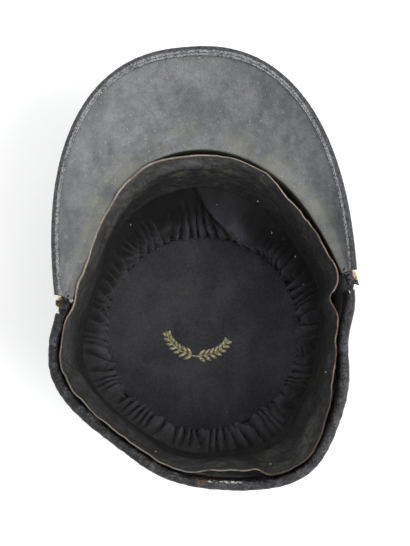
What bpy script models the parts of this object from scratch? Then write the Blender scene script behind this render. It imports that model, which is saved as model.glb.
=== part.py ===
"""Kepi cap, resting upside down on its flat crown with its opening up.

Metres, +Z up. The origin is the middle of the flat crown top, on the surface that the cap
rests on. The peak points along -Y, and the wearer's right side lies along +X. Angles run
in degrees round the opening, from +X towards +Y, which is the back of the cap.
"""
import math
from typing import NamedTuple

import bmesh
import bpy
from mathutils import Matrix, Vector

# Size of the cap
CROWN_RADIUS = 0.0715
RIM_HALF_WIDTH = 0.088
RIM_HALF_LENGTH = 0.098
RIM_FORWARD = 0.0135
FRONT_HEIGHT = 0.086
BACK_HEIGHT = 0.116
WALL_FULLNESS = 0.0015

# Thickness of the materials, and the gap kept between pieces
CLOTH = 0.0012
PEAK_LEATHER = 0.0016
BINDING_LEATHER = 0.0010
SWEAT_LEATHER = 0.0011
STRAP_LEATHER = 0.0014
LINING_CLOTH = 0.0010
CLEARANCE = 0.00035

# Crown top and the seam that joins it to the side
CROWN_EDGE_ROUND = 0.0006
SEAM_TURN = 0.0016
SEAM_ALLOWANCE = 0.006

# Band and the binding round its edge
BAND_DEPTH = 0.038
BINDING_LEG = 0.009
BINDING_OUTER_LEG = 0.006
BINDING_GAP = 0.0012

# Peak
PEAK_GAP = 0.0060
PEAK_LENGTH = 0.0530
PEAK_SHOULDER_RIGHT = 0.0060
PEAK_SHOULDER_LEFT = 0.0040
PEAK_FLANGE = 0.008
PEAK_RISE = 0.019
PEAK_SIDE_RISE = 0.0045
PEAK_HOLLOW = 0.0018
PEAK_SQUARENESS = 2.4
PEAK_BINDING_WIDTH = 0.0042

# Sweatband
SWEAT_DEPTH = 0.040
SWEAT_DROP = 0.0008
SWEAT_LEAN = 0.0035
SWEAT_WAVE = 0.0007

# Lining
TIP_RADIUS = 0.0655
TIP_LIFT = 0.0030
TIP_CROWN = 0.0012
SKIRT_TOP_DROP = 0.031
SKIRT_BELLY = 0.0045
PLEATS = 40
PLEAT_DEPTH = 0.0012

# Chin strap and its two buttons
BUTTON_RIGHT = -12.0
BUTTON_LEFT = -168.9
BUTTON_DROP = 0.0060
BUTTON_RADIUS = 0.0048
BUTTON_DOME = 0.0040
BUTTON_EDGE = 0.0007
SHANK_RADIUS = 0.0011
CLINCH_RADIUS = 0.0024
CLINCH_THICKNESS = 0.0007
STRAP_WIDTH = 0.0110
STRAP_TAIL = 0.0065

# Faces round each piece
STATION_STEP = 5.0
TURN_STEPS = 40
BUTTON_STEPS = 16

# Rows of faces down each piece, as shares of its depth
PEAK_ROWS = (0.0, 0.25, 0.5, 0.8, 1.0)
BAND_ROWS = (0.0, 0.5, 1.0)
LOWER_WALL_ROWS = (0.5, 1.0)
SWEAT_ROWS = (0.0, 0.2, 0.5, 0.8, 1.0)
SKIRT_ROWS = (0.0, 0.3, 0.6, 1.0)
TIP_RINGS = ((0.0, 1.0), (0.5, 0.75), (0.85, 0.25), (1.0, 0.0))


class RimFold(NamedTuple):
    """One dent or bulge of the rim seen from above."""

    angle: float    # degrees round the opening
    spread: float   # degrees from its middle to its flank
    depth: float    # share of RIM_HALF_WIDTH, outward above zero


class SweatFold(NamedTuple):
    """One place where the sweatband stands off the wall."""

    angle: float    # degrees round the opening
    spread: float   # degrees from its middle to its flank
    top: float      # inward depth at the raw edge, share of SWEAT_DEPTH
    foot: float     # inward depth at the lower edge, share of SWEAT_DEPTH


RIM_FOLDS = (
    RimFold(angle=-31.0, spread=19.0, depth=-0.160),
    RimFold(angle=14.0, spread=11.0, depth=0.040),
    RimFold(angle=54.0, spread=17.0, depth=-0.090),
    RimFold(angle=86.0, spread=14.0, depth=-0.028),
    RimFold(angle=121.0, spread=13.0, depth=0.125),
    RimFold(angle=148.0, spread=12.0, depth=0.028),
    RimFold(angle=168.0, spread=10.0, depth=-0.045),
    RimFold(angle=-175.0, spread=9.0, depth=0.034),
    RimFold(angle=-100.0, spread=32.0, depth=0.090),
)

SWEAT_FOLDS = (
    SweatFold(angle=-142.0, spread=12.0, top=0.110, foot=0.030),
    SweatFold(angle=-177.0, spread=4.5, top=0.200, foot=0.070),
    SweatFold(angle=152.0, spread=6.0, top=0.060, foot=0.030),
    SweatFold(angle=96.0, spread=7.0, top=0.110, foot=0.040),
    SweatFold(angle=124.0, spread=18.0, top=0.020, foot=0.180),
    SweatFold(angle=-96.0, spread=20.0, top=0.060, foot=0.110),
)

SKIRT_SAG_ANGLE = -112.0
SKIRT_SAG_SPREAD = 15.0
SKIRT_SAG_DEPTH = 0.0060


def turn_for(length):
    """Degrees round the rim that a length takes up at its sides."""
    return math.degrees(length / RIM_HALF_WIDTH)


# Places worked out from the sizes above
PEAK_START = BUTTON_RIGHT - turn_for(PEAK_GAP)
PEAK_END = BUTTON_LEFT + turn_for(PEAK_GAP)
STRAP_START = BUTTON_RIGHT + turn_for(STRAP_TAIL)
STRAP_END = BUTTON_LEFT - turn_for(STRAP_TAIL)
BINDING_START = STRAP_START + turn_for(BINDING_GAP)
BINDING_END = STRAP_END - turn_for(BINDING_GAP) + 360.0
WALL_HALF = CLEARANCE / 2 + CLOTH
SIDE_INSET = CLEARANCE / 2 + CLOTH / 2
BINDING_RADIUS = WALL_HALF + CLEARANCE + BINDING_LEATHER / 2
FLANGE_INSET = WALL_HALF + CLEARANCE + PEAK_LEATHER / 2
SWEAT_INSET = FLANGE_INSET + PEAK_LEATHER / 2 + CLEARANCE + SWEAT_LEATHER / 2
STRAP_INSET = -(WALL_HALF + CLEARANCE + STRAP_LEATHER / 2)
SKIRT_TOP_INSET = WALL_HALF + CLEARANCE + LINING_CLOTH / 2 + PLEAT_DEPTH / 2
SEAM_HEIGHT = CLOTH + CLEARANCE + CLOTH / 2
TIP_HEIGHT = SEAM_HEIGHT + CLOTH / 2 + CLEARANCE + TIP_LIFT

UP = Vector((0.0, 0.0, 1.0))


def clear_scene():
    """Remove whatever the scene holds."""
    for item in list(bpy.data.objects):
        bpy.data.objects.remove(item, do_unlink=True)


def make_collection(name):
    """Add an empty collection to the scene."""
    group = bpy.data.collections.new(name)
    bpy.context.scene.collection.children.link(group)
    return group


def finish(name, colour, roughness, metallic=0.0):
    """Material with one plain colour."""
    material = bpy.data.materials.new(name)
    material.use_nodes = True
    shader = material.node_tree.nodes["Principled BSDF"]
    shader.inputs["Base Color"].default_value = (*colour, 1.0)
    shader.inputs["Roughness"].default_value = roughness
    shader.inputs["Metallic"].default_value = metallic
    return material


def ring_angles():
    """Angles of the shared stations once round."""
    return [STATION_STEP * step for step in range(round(360.0 / STATION_STEP))]


def strip_angles(first, last):
    """Angles from first to last through the shared stations well inside them."""
    low, high = sorted((first, last))
    margin = 0.3
    start = math.floor(low / STATION_STEP + margin) + 1
    stop = math.ceil(high / STATION_STEP - margin)
    angles = [low] + [STATION_STEP * step for step in range(start, stop)] + [high]
    return angles if first < last else angles[::-1]


def fold_height(angle, middle, spread):
    """Height from 0 to 1 of a soft fold at an angle."""
    away = (angle - middle + 180.0) % 360.0 - 180.0
    return math.exp(-0.5 * (away / spread) ** 2)


def rim_point(angle):
    """Point of the rim's seam line, an egg with the cap's dents and bulges."""
    turn = math.radians(angle)
    across = math.cos(turn) / RIM_HALF_WIDTH
    along = math.sin(turn) / RIM_HALF_LENGTH
    radius = 1.0 / math.hypot(across, along)
    for fold in RIM_FOLDS:
        radius += RIM_HALF_WIDTH * fold.depth * fold_height(angle, fold.angle, fold.spread)
    x = radius * math.cos(turn)
    y = radius * math.sin(turn)
    back_share = (y + RIM_HALF_LENGTH) / (2 * RIM_HALF_LENGTH)
    height = FRONT_HEIGHT + (BACK_HEIGHT - FRONT_HEIGHT) * back_share
    return Vector((x, y - RIM_FORWARD, height))


def outward(angle):
    """Level direction away from the wall at an angle."""
    along = rim_point(angle + 1.0) - rim_point(angle - 1.0)
    return Vector((along.y, -along.x, 0.0)).normalized()


def crown_edge_point(angle):
    """Point where the wall starts to turn in under the crown's seam."""
    turn = math.radians(angle)
    height = SEAM_HEIGHT + SEAM_TURN
    return Vector((CROWN_RADIUS * math.cos(turn), CROWN_RADIUS * math.sin(turn), height))


def wall_point(angle, drop, inset=0.0):
    """Point of the wall, drop below its rim and inset from its seam line towards the head."""
    rim = rim_point(angle)
    line = crown_edge_point(angle) - rim
    share = drop / line.length
    level = outward(angle)
    square = (level - line * level.dot(line) / line.length_squared).normalized()
    fullness = WALL_FULLNESS * math.sin(math.pi * min(max(share, 0.0), 1.0)) ** 2
    return rim + line * share + square * (fullness - inset)


def wall_frame(angle, drop):
    """Point of the wall and the direction square to it, away from the head."""
    point = wall_point(angle, drop)
    along = wall_point(angle + 1.0, drop) - wall_point(angle - 1.0, drop)
    up = wall_point(angle, 0.0) - wall_point(angle, 2 * drop)
    return point, along.cross(up).normalized()


def loft(name, rows, ring=False):
    """Mesh of one open surface through rows of points that run alongside each other."""
    form = bmesh.new()
    lines = [[form.verts.new(point) for point in row] for row in rows]
    count = len(lines[0])
    steps = count if ring else count - 1
    for upper, lower in zip(lines, lines[1:]):
        for here in range(steps):
            after = (here + 1) % count
            form.faces.new((upper[here], lower[here], lower[after], upper[after]))
    bmesh.ops.recalc_face_normals(form, faces=form.faces)
    mesh = bpy.data.meshes.new(name)
    form.to_mesh(mesh)
    form.free()
    return mesh


def add_piece(group, name, mesh, material):
    """Object for one sub-part, with its finish and soft shading."""
    piece = bpy.data.objects.new(name, mesh)
    group.objects.link(piece)
    piece.data.materials.append(material)
    mesh.shade_smooth()
    mesh.set_sharp_from_angle(angle=math.radians(50.0))
    return piece


def thicken(piece, thickness, even=True):
    """Give an open surface its wall, half on either side."""
    wall = piece.modifiers.new("wall", "SOLIDIFY")
    wall.thickness = thickness
    wall.offset = 0.0
    wall.use_even_offset = even
    wall.use_quality_normals = even


def turn(group, name, profile, steps, material):
    """Piece turned round its own Z axis from a profile of (radius, height) pairs."""
    mesh = bpy.data.meshes.new(name)
    points = [(radius, 0.0, height) for radius, height in profile]
    edges = [(step, step + 1) for step in range(len(points) - 1)]
    mesh.from_pydata(points, edges, [])
    piece = bpy.data.objects.new(name, mesh)
    group.objects.link(piece)
    mesh.materials.append(material)
    screw = piece.modifiers.new("turn", "SCREW")
    screw.steps = steps
    screw.render_steps = steps
    screw.use_merge_vertices = True
    screw.merge_threshold = 0.00005
    screw.use_smooth_shade = True
    return piece


def cut(piece, cutter):
    """Take a cutter's shape out of a piece."""
    hole = piece.modifiers.new("hole", "BOOLEAN")
    hole.operation = "DIFFERENCE"
    hole.solver = "EXACT"
    hole.object = cutter


def build_crown_top(group, material):
    """Flat cloth disc that the cap rests on, its edge softly rounded."""
    radius = CROWN_RADIUS + CLOTH / 2
    profile = [
        (0.0, CLOTH),
        (radius - CROWN_EDGE_ROUND, CLOTH),
        (radius, CLOTH / 2),
        (radius - CROWN_EDGE_ROUND, 0.0),
        (0.0, 0.0),
    ]
    return turn(group, "crown_top", profile, TURN_STEPS, material)


def build_crown_side(group, material):
    """Tapering cloth wall from the rim to the seam turned in over the crown top."""
    rows = [[wall_point(angle, share * BAND_DEPTH, SIDE_INSET) for angle in ring_angles()]
            for share in BAND_ROWS]
    for share in LOWER_WALL_ROWS:
        row = []
        for angle in ring_angles():
            length = (rim_point(angle) - crown_edge_point(angle)).length
            row.append(wall_point(angle, BAND_DEPTH + share * (length - BAND_DEPTH), SIDE_INSET))
        rows.append(row)
    corner = SEAM_TURN * (1.0 - math.sqrt(0.5))
    for inward, rise in ((corner, corner), (SEAM_ALLOWANCE, 0.0)):
        radius = CROWN_RADIUS - SIDE_INSET - inward
        height = SEAM_HEIGHT + rise
        rows.append([Vector((radius * math.cos(math.radians(angle)),
                             radius * math.sin(math.radians(angle)), height))
                     for angle in ring_angles()])
    mesh = loft("crown_side", rows, ring=True)
    piece = add_piece(group, "crown_side", mesh, material)
    thicken(piece, CLOTH)
    return piece


def build_band(group, material):
    """Cloth band round the outside of the wall at the rim."""
    rows = [[wall_point(angle, share * BAND_DEPTH, -SIDE_INSET) for angle in ring_angles()]
            for share in BAND_ROWS]
    piece = add_piece(group, "band", loft("band", rows, ring=True), material)
    thicken(piece, CLOTH)
    return piece


def build_rim_binding(group, material):
    """Leather strip folded over the rim, round the back from button to button."""
    section = [(-BINDING_RADIUS, BINDING_OUTER_LEG), (-BINDING_RADIUS, 0.0)]
    for turn_angle in (145.0, 90.0, 35.0):
        reach = math.radians(turn_angle)
        section.append((BINDING_RADIUS * math.cos(reach), -BINDING_RADIUS * math.sin(reach)))
    section += [(BINDING_RADIUS, 0.0), (BINDING_RADIUS, BINDING_LEG)]
    angles = strip_angles(BINDING_START, BINDING_END)
    rows = [[wall_point(angle, drop, inset) for angle in angles] for inset, drop in section]
    piece = add_piece(group, "rim_binding", loft("rim_binding", rows), material)
    thicken(piece, BINDING_LEATHER)
    return piece


def peak_shares():
    """Shares of the way round the peak at the shared stations."""
    return [(angle - PEAK_START) / (PEAK_END - PEAK_START)
            for angle in strip_angles(PEAK_START, PEAK_END)]


def peak_edge_point(share):
    """Point of the peak's cut edge, share 0 at the wearer's right and 1 at the left."""
    right = rim_point(PEAK_START) + outward(PEAK_START) * PEAK_SHOULDER_RIGHT
    left = rim_point(PEAK_END) + outward(PEAK_END) * PEAK_SHOULDER_LEFT
    turn_angle = math.pi * share
    across = math.cos(turn_angle)
    forward = math.sin(turn_angle)
    reach = 2.0 / PEAK_SQUARENESS
    middle = (right + left) / 2
    half_width = (right.x - left.x) / 2
    tip = rim_point(-90.0) - Vector((0.0, PEAK_LENGTH, 0.0))
    x = middle.x + half_width * math.copysign(abs(across) ** reach, across)
    root = middle + (right - left) / 2 * across
    bow = max(forward, 0.0) ** reach
    y = root.y + (tip.y - root.y) * bow
    tip_lift = FRONT_HEIGHT + PEAK_RISE - root.z
    lift = PEAK_SIDE_RISE + (tip_lift - PEAK_SIDE_RISE) * math.sqrt(max(forward, 0.0))
    return Vector((x, y, root.z + lift))


def peak_plate_point(share, reach):
    """Middle of the peak's leather, reach 0 at the rim and 1 at the cut edge."""
    angle = PEAK_START + (PEAK_END - PEAK_START) * share
    rim = wall_point(angle, -PEAK_LEATHER - CLEARANCE, -BINDING_RADIUS)
    edge = peak_edge_point(share)
    hollow = PEAK_HOLLOW * math.sin(math.pi * reach) * math.sin(math.pi * share)
    return rim + (edge - rim) * reach - UP * hollow


def build_peak(group, material):
    """Leather peak with its flange turned down inside the rim."""
    shares = peak_shares()
    arch = PEAK_LEATHER / 2 + CLEARANCE
    section = (
        (FLANGE_INSET, PEAK_FLANGE),
        (FLANGE_INSET, PEAK_FLANGE / 2),
        (FLANGE_INSET, 0.0),
        (FLANGE_INSET * 0.80, -arch * 0.95),
        (FLANGE_INSET * 0.35, -arch * 1.45),
    )
    rows = []
    for inset, drop in section:
        rows.append([wall_point(PEAK_START + (PEAK_END - PEAK_START) * share, drop, inset)
                     for share in shares])
    for reach in PEAK_ROWS:
        rows.append([peak_plate_point(share, reach) for share in shares])
    piece = add_piece(group, "peak", loft("peak", rows), material)
    thicken(piece, PEAK_LEATHER)
    return piece


def peak_surface(share, reach):
    """Point of the peak's middle surface, its run along the edge and its upward normal."""
    step = STATION_STEP / abs(PEAK_END - PEAK_START) / 2
    before = peak_plate_point(max(share - step, 0.0), reach)
    after = peak_plate_point(min(share + step, 1.0), reach)
    point = peak_plate_point(share, reach)
    outer = peak_plate_point(share, reach + 0.05) - peak_plate_point(share, reach - 0.05)
    along = (before - after).normalized()
    return point, along, outer.cross(along).normalized()


def build_peak_binding(group, material):
    """Leather strip folded over the peak's cut edge."""
    radius = PEAK_LEATHER / 2 + 1.5 * CLEARANCE + BINDING_LEATHER / 2
    rows = [[] for _ in range(6)]
    for share in peak_shares():
        edge, along, square = peak_surface(share, 1.0)
        away = along.cross(square).normalized()
        length = (edge - peak_plate_point(share, 0.0)).length
        inner_reach = 1.0 - min(PEAK_BINDING_WIDTH / length, 0.6)
        leg, _, leg_square = peak_surface(share, inner_reach)
        bend = away * radius * math.sqrt(0.5)
        lift = square * radius * math.sqrt(0.5)
        points = (leg + leg_square * radius, edge + square * radius, edge + bend + lift,
                  edge + bend - lift, edge - square * radius, leg - leg_square * radius)
        for row, point in zip(rows, points):
            row.append(point)
    piece = add_piece(group, "peak_binding", loft("peak_binding", rows), material)
    thicken(piece, BINDING_LEATHER)
    return piece


def sweat_point(angle, share):
    """Middle of the sweatband's leather, share 0 at its raw edge and 1 at its lower edge."""
    inset = SWEAT_INSET + SWEAT_LEAN * share
    for fold in SWEAT_FOLDS:
        depth = fold.top + (fold.foot - fold.top) * share
        inset += SWEAT_DEPTH * depth * fold_height(angle, fold.angle, fold.spread)
    turn_angle = math.radians(angle)
    wave = SWEAT_WAVE * (math.sin(5 * turn_angle) + math.sin(8 * turn_angle + 1.0)) * (1.0 - share)
    return wall_point(angle, SWEAT_DROP + wave + SWEAT_DEPTH * share, inset)


def build_sweatband(group, material):
    """Leather sweatband that stands off the wall where it has pulled loose."""
    rows = [[sweat_point(angle, share) for angle in ring_angles()]
            for share in SWEAT_ROWS]
    piece = add_piece(group, "sweatband", loft("sweatband", rows, ring=True), material)
    thicken(piece, SWEAT_LEATHER)
    return piece


def skirt_point(angle, share, pleat):
    """Middle of the lining skirt, share 0 at its top and 1 at the tip's edge."""
    top = wall_point(angle, SKIRT_TOP_DROP, SKIRT_TOP_INSET)
    turn_angle = math.radians(angle)
    radius = TIP_RADIUS + CLEARANCE + LINING_CLOTH / 2 + PLEAT_DEPTH
    foot = Vector((radius * math.cos(turn_angle), radius * math.sin(turn_angle), TIP_HEIGHT))
    belly = SKIRT_BELLY + SKIRT_SAG_DEPTH * fold_height(angle, SKIRT_SAG_ANGLE, SKIRT_SAG_SPREAD)
    inward = belly * math.sin(math.pi * share) ** 2
    depth = PLEAT_DEPTH * (0.5 + 0.5 * share)
    return top + (foot - top) * share + outward(angle) * (depth * pleat - inward)


def build_lining_skirt(group, material):
    """Cloth lining gathered in pleats round the tip."""
    samples = 4
    stations = []
    for step in range(PLEATS * samples):
        pleat, place = divmod(step, samples)
        fullness = 0.75 + 0.25 * math.sin(2.4 * pleat)
        stations.append((360.0 * step / (PLEATS * samples),
                         fullness * math.cos(2 * math.pi * place / samples)))
    rows = [[skirt_point(angle, share, pleat) for angle, pleat in stations]
            for share in SKIRT_ROWS]
    piece = add_piece(group, "lining_skirt", loft("lining_skirt", rows, ring=True), material)
    thicken(piece, LINING_CLOTH, even=False)
    return piece


def build_lining_tip(group, material):
    """Round lining over the crown, a little higher in its middle."""
    upper = [(TIP_RADIUS * reach, TIP_HEIGHT + LINING_CLOTH / 2 + TIP_CROWN * rise)
             for reach, rise in TIP_RINGS]
    lower = [(radius, height - LINING_CLOTH) for radius, height in reversed(upper)]
    return turn(group, "lining_tip", upper + lower, TURN_STEPS, material)


def build_chin_strap(group, material):
    """Leather strap across the front of the band, its ends held under the buttons."""
    tail_turn = turn_for(STRAP_TAIL)
    angles = [STRAP_START, STRAP_START - tail_turn / 4, STRAP_START - tail_turn / 2]
    angles += strip_angles(BUTTON_RIGHT, BUTTON_LEFT)
    angles += [STRAP_END + tail_turn / 2, STRAP_END + tail_turn / 4, STRAP_END]
    round_share = STRAP_WIDTH / 2 / RIM_HALF_WIDTH
    rows = [[] for _ in range(3)]
    for angle in angles:
        to_end = math.radians(min(STRAP_START - angle, angle - STRAP_END))
        closeness = min(to_end / round_share, 1.0)
        half_width = STRAP_WIDTH / 2 * (0.45 + 0.55 * math.sqrt(closeness * (2.0 - closeness)))
        for row, side in zip(rows, (-1.0, 0.0, 1.0)):
            row.append(wall_point(angle, BUTTON_DROP + side * half_width, STRAP_INSET))
    piece = add_piece(group, "chin_strap", loft("chin_strap", rows), material)
    thicken(piece, STRAP_LEATHER)
    return piece


def button_placement(angle):
    """Matrix that stands a turned piece on the wall with its top away from the head."""
    point, away = wall_frame(angle, BUTTON_DROP)
    return Matrix.Translation(point) @ away.to_track_quat("Z", "Y").to_matrix().to_4x4()


def build_button(group, name, angle, material):
    """Domed button on a plain shank that passes through the strap and the wall."""
    seat = WALL_HALF + CLEARANCE + STRAP_LEATHER + CLEARANCE
    clinch = -(WALL_HALF + CLEARANCE)
    profile = [(0.0, seat + BUTTON_DOME)]
    for lean in (25.0, 50.0, 72.0):
        bend = math.radians(lean)
        rise = (BUTTON_DOME - BUTTON_EDGE) * math.cos(bend)
        profile.append((BUTTON_RADIUS * math.sin(bend), seat + BUTTON_EDGE + rise))
    profile += [
        (BUTTON_RADIUS, seat + BUTTON_EDGE),
        (BUTTON_RADIUS, seat),
        (SHANK_RADIUS, seat),
        (SHANK_RADIUS, clinch),
        (CLINCH_RADIUS, clinch),
        (CLINCH_RADIUS, clinch - CLINCH_THICKNESS),
        (0.0, clinch - CLINCH_THICKNESS),
    ]
    piece = turn(group, name, profile, BUTTON_STEPS, material)
    piece.matrix_world = button_placement(angle)
    return piece


def build_shank_cutter(group, name, angle):
    """Round cutter for the hole that a button's shank passes through."""
    length = 4 * (WALL_HALF + STRAP_LEATHER + CLEARANCE)
    form = bmesh.new()
    radius = SHANK_RADIUS + CLEARANCE
    bmesh.ops.create_cone(form, cap_ends=True, segments=12, radius1=radius, radius2=radius, depth=length)
    mesh = bpy.data.meshes.new(name)
    form.to_mesh(mesh)
    form.free()
    cutter = bpy.data.objects.new(name, mesh)
    group.objects.link(cutter)
    cutter.matrix_world = button_placement(angle)
    cutter.hide_render = True
    cutter.display_type = "WIRE"
    return cutter


def main():
    """Build the cap."""
    clear_scene()
    cap = make_collection("kepi_cap")
    cutters = make_collection("cutters")

    wool = finish("navy_wool", (0.028, 0.030, 0.045), 0.9)
    peak_leather = finish("peak_leather", (0.135, 0.142, 0.150), 0.5)
    binding_leather = finish("binding_leather", (0.030, 0.032, 0.038), 0.4)
    sweat_leather = finish("sweatband_leather", (0.036, 0.032, 0.028), 0.6)
    skirt_cloth = finish("skirt_lining", (0.018, 0.018, 0.020), 0.8)
    tip_cloth = finish("tip_lining", (0.035, 0.036, 0.046), 0.8)
    strap_leather = finish("strap_leather", (0.060, 0.032, 0.018), 0.45)
    gilt = finish("gilt_brass", (0.62, 0.46, 0.18), 0.3, 1.0)

    build_crown_top(cap, wool)
    side = build_crown_side(cap, wool)
    band = build_band(cap, wool)
    build_rim_binding(cap, binding_leather)
    build_peak(cap, peak_leather)
    build_peak_binding(cap, binding_leather)
    build_sweatband(cap, sweat_leather)
    build_lining_skirt(cap, skirt_cloth)
    build_lining_tip(cap, tip_cloth)
    strap = build_chin_strap(cap, strap_leather)

    for side_name, angle in (("right", BUTTON_RIGHT), ("left", BUTTON_LEFT)):
        build_button(cap, f"side_button_{side_name}", angle, gilt)
        cutter = build_shank_cutter(cutters, f"shank_hole_{side_name}", angle)
        for piece in (side, band, strap):
            cut(piece, cutter)


main()
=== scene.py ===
"""Looks of a worn kepi cap that rests upside down on its flat crown, seen from straight above.

Metres, +Z up. The peak points along -Y and the wearer's right side lies along +X. Angles run
in degrees round the opening, from +X towards +Y, which is the back of the cap.
"""
import logging
import math
import random
from dataclasses import dataclass, replace
from enum import Enum
from functools import lru_cache
from typing import Callable, Iterable, NamedTuple, Optional, Union

import bmesh
import bpy
from mathutils import Matrix, Vector, noise
from mathutils.bvhtree import BVHTree


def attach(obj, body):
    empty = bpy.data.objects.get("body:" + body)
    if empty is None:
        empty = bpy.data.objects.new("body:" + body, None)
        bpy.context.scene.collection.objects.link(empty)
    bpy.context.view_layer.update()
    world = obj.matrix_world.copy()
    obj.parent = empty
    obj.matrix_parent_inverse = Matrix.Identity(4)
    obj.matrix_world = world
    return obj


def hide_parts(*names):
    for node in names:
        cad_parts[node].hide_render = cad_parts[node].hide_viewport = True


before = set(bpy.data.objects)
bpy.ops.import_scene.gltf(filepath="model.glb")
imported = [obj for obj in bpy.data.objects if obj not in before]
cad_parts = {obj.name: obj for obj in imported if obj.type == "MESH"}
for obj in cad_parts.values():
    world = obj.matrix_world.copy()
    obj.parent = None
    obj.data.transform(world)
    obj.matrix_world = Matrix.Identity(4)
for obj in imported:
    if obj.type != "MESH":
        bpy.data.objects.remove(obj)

LOG = logging.getLogger("kepi_cap")
BODY = "root"
UP = Vector((0.0, 0.0, 1.0))
SEAM_MERGE = 1e-6
PEAK_WIDENING = 0.0032

Socket = bpy.types.NodeSocket
Finish = bpy.types.Material
Piece = bpy.types.Object
Form = bmesh.types.BMesh
Place = Callable[[float, float], Vector]
Route = Callable[[float], tuple[Vector, Vector]]
Colour = tuple[float, float, float]
Value = Union[float, Colour, tuple[float, float, float, float], Vector, Socket]


class Slot(Enum):
    """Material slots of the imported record."""

    WOOL = "wool"
    SKIRT = "skirt_lining"
    TIP = "tip_lining"
    PEAK = "peak_leather"
    BINDING = "binding_leather"
    SWEATBAND = "sweatband_leather"
    STRAP = "strap_leather"
    GILT = "gilt"


class RimFold(NamedTuple):
    """One dent or bulge of the rim seen from above."""

    angle: float    # degrees round the opening
    spread: float   # degrees from its middle to its flank
    depth: float    # share of the rim's half width, outward above zero


class SweatFold(NamedTuple):
    """One place where the sweatband stands off the wall."""

    angle: float    # degrees round the opening
    spread: float   # degrees from its middle to its flank
    top: float      # inward depth at the raw edge, share of the band's depth
    foot: float     # inward depth at the lower edge, share of the band's depth


class Dent(NamedTuple):
    """A small dent or bulge in a surface."""

    angle: float    # degrees round the opening
    spread: float   # degrees from its middle to its flank
    share: float    # share of the way down the surface
    reach: float    # share of the surface from its middle to its flank
    height: float   # metres, towards the head above zero


class Fleck(NamedTuple):
    """One of the larger flecks of lint, by its place in the photograph."""

    across: float   # pixels to the right of the picture's middle
    up: float       # pixels above the picture's middle
    size: float     # metres, half its length


class Station(NamedTuple):
    """The wall's line at one angle."""

    rim: Vector
    line: Vector
    square: Vector
    level: Vector


RIM_FOLDS = (
    RimFold(-31.0, 19.0, -0.160),
    RimFold(14.0, 11.0, 0.040),
    RimFold(54.0, 17.0, -0.090),
    RimFold(86.0, 14.0, -0.028),
    RimFold(121.0, 13.0, 0.125),
    RimFold(148.0, 12.0, 0.028),
    RimFold(168.0, 10.0, -0.045),
    RimFold(-175.0, 9.0, 0.034),
    RimFold(-100.0, 32.0, 0.090),
)

SWEAT_FOLDS = (
    SweatFold(-142.0, 12.0, 0.110, 0.030),
    SweatFold(-177.0, 4.5, 0.200, 0.070),
    SweatFold(152.0, 6.0, 0.060, 0.030),
    SweatFold(96.0, 7.0, 0.110, 0.040),
    SweatFold(124.0, 18.0, 0.020, 0.180),
    SweatFold(-96.0, 20.0, 0.060, 0.110),
)

SWEAT_DENTS = (
    Dent(104.0, 2.0, 0.0, 0.20, 0.0022),
    Dent(88.0, 2.6, 0.05, 0.30, 0.0012),
    Dent(34.0, 24.0, 0.38, 0.16, 0.0034),
    Dent(84.0, 12.0, 0.34, 0.14, 0.0026),
    Dent(-48.0, 22.0, 0.22, 0.10, 0.0016),
    Dent(-50.0, 20.0, 0.95, 0.30, -0.0030),
    Dent(-38.0, 12.0, 0.0, 0.15, -0.0008),
    Dent(-88.0, 9.0, 0.22, 0.07, 0.0020),
    Dent(-74.0, 8.0, 0.40, 0.10, 0.0018),
    Dent(-104.0, 7.0, 0.36, 0.09, 0.0016),
    Dent(-60.0, 7.0, 0.30, 0.12, 0.0012),
    Dent(-118.0, 5.0, 0.15, 0.10, 0.0011),
    Dent(-150.0, 4.0, 0.10, 0.25, -0.0012),
    Dent(176.0, 4.0, 0.45, 0.20, 0.0016),
    Dent(-20.0, 6.0, 0.55, 0.16, 0.0014),
    Dent(22.0, 9.0, 0.45, 0.12, 0.0014),
    Dent(52.0, 8.0, 0.60, 0.15, 0.0012),
    Dent(132.0, 7.0, 0.35, 0.10, 0.0020),
    Dent(116.0, 6.0, 0.62, 0.10, 0.0018),
    Dent(140.0, 5.0, 0.75, 0.10, 0.0014),
)

FLECKS = (
    Fleck(-74.4, 48.6, 0.0006), Fleck(11.7, 68.4, 0.0006), Fleck(53.0, 72.0, 0.0008),
    Fleck(67.0, 41.0, 0.0010), Fleck(90.7, 16.7, 0.0009), Fleck(98.6, -11.0, 0.0007),
    Fleck(-49.5, -178.7, 0.0007), Fleck(-11.7, -154.3, 0.0008), Fleck(21.3, -139.0, 0.0006),
    Fleck(59.7, -135.6, 0.0005), Fleck(121.3, -99.0, 0.0007), Fleck(65.5, -191.4, 0.0006),
)


def wrapped(angle: float) -> float:
    """Angle brought between -180 and 180 degrees."""
    return (angle + 180.0) % 360.0 - 180.0


def bell(away: float, spread: float) -> float:
    """Height from 0 to 1 of a soft bump, away from its middle."""
    return math.exp(-0.5 * (away / spread) ** 2)


def ease(low: float, high: float, value: float) -> float:
    """Soft step from 0 at low to 1 at high."""
    share = min(max((value - low) / (high - low), 0.0), 1.0)
    return share * share * (3.0 - 2.0 * share)


def around(angle: float, cells: float, height: float = 0.0, seed: float = 0.0) -> float:
    """Smooth noise that closes round the opening.

    Args:
        angle: Degrees round the opening.
        cells: Bumps once round.
        height: Place down the surface, in bumps.
        seed: Offset that gives another pattern.

    Returns:
        A value from about -1 to 1.
    """
    radius = cells / (2.0 * math.pi)
    turn = math.radians(angle)
    spot = Vector((radius * math.cos(turn) + seed, radius * math.sin(turn) - seed, height))
    return noise.noise(spot)


def folded(run: float, strip: float, radius: float, first: float, last: float) -> tuple[float, float]:
    """Place on a strip folded over an edge.

    Args:
        run: Distance across the strip from its first side.
        strip: Width of the strip laid flat.
        radius: Radius of its bend.
        first: Width of the leg before the bend.
        last: Width of the leg after it.

    Returns:
        The bend there in radians, and the distance down a leg.
    """
    bend = min(max((run - first) / radius, 0.0), math.pi)
    return bend, max(first - run, run - strip + last, 0.0)


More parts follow.
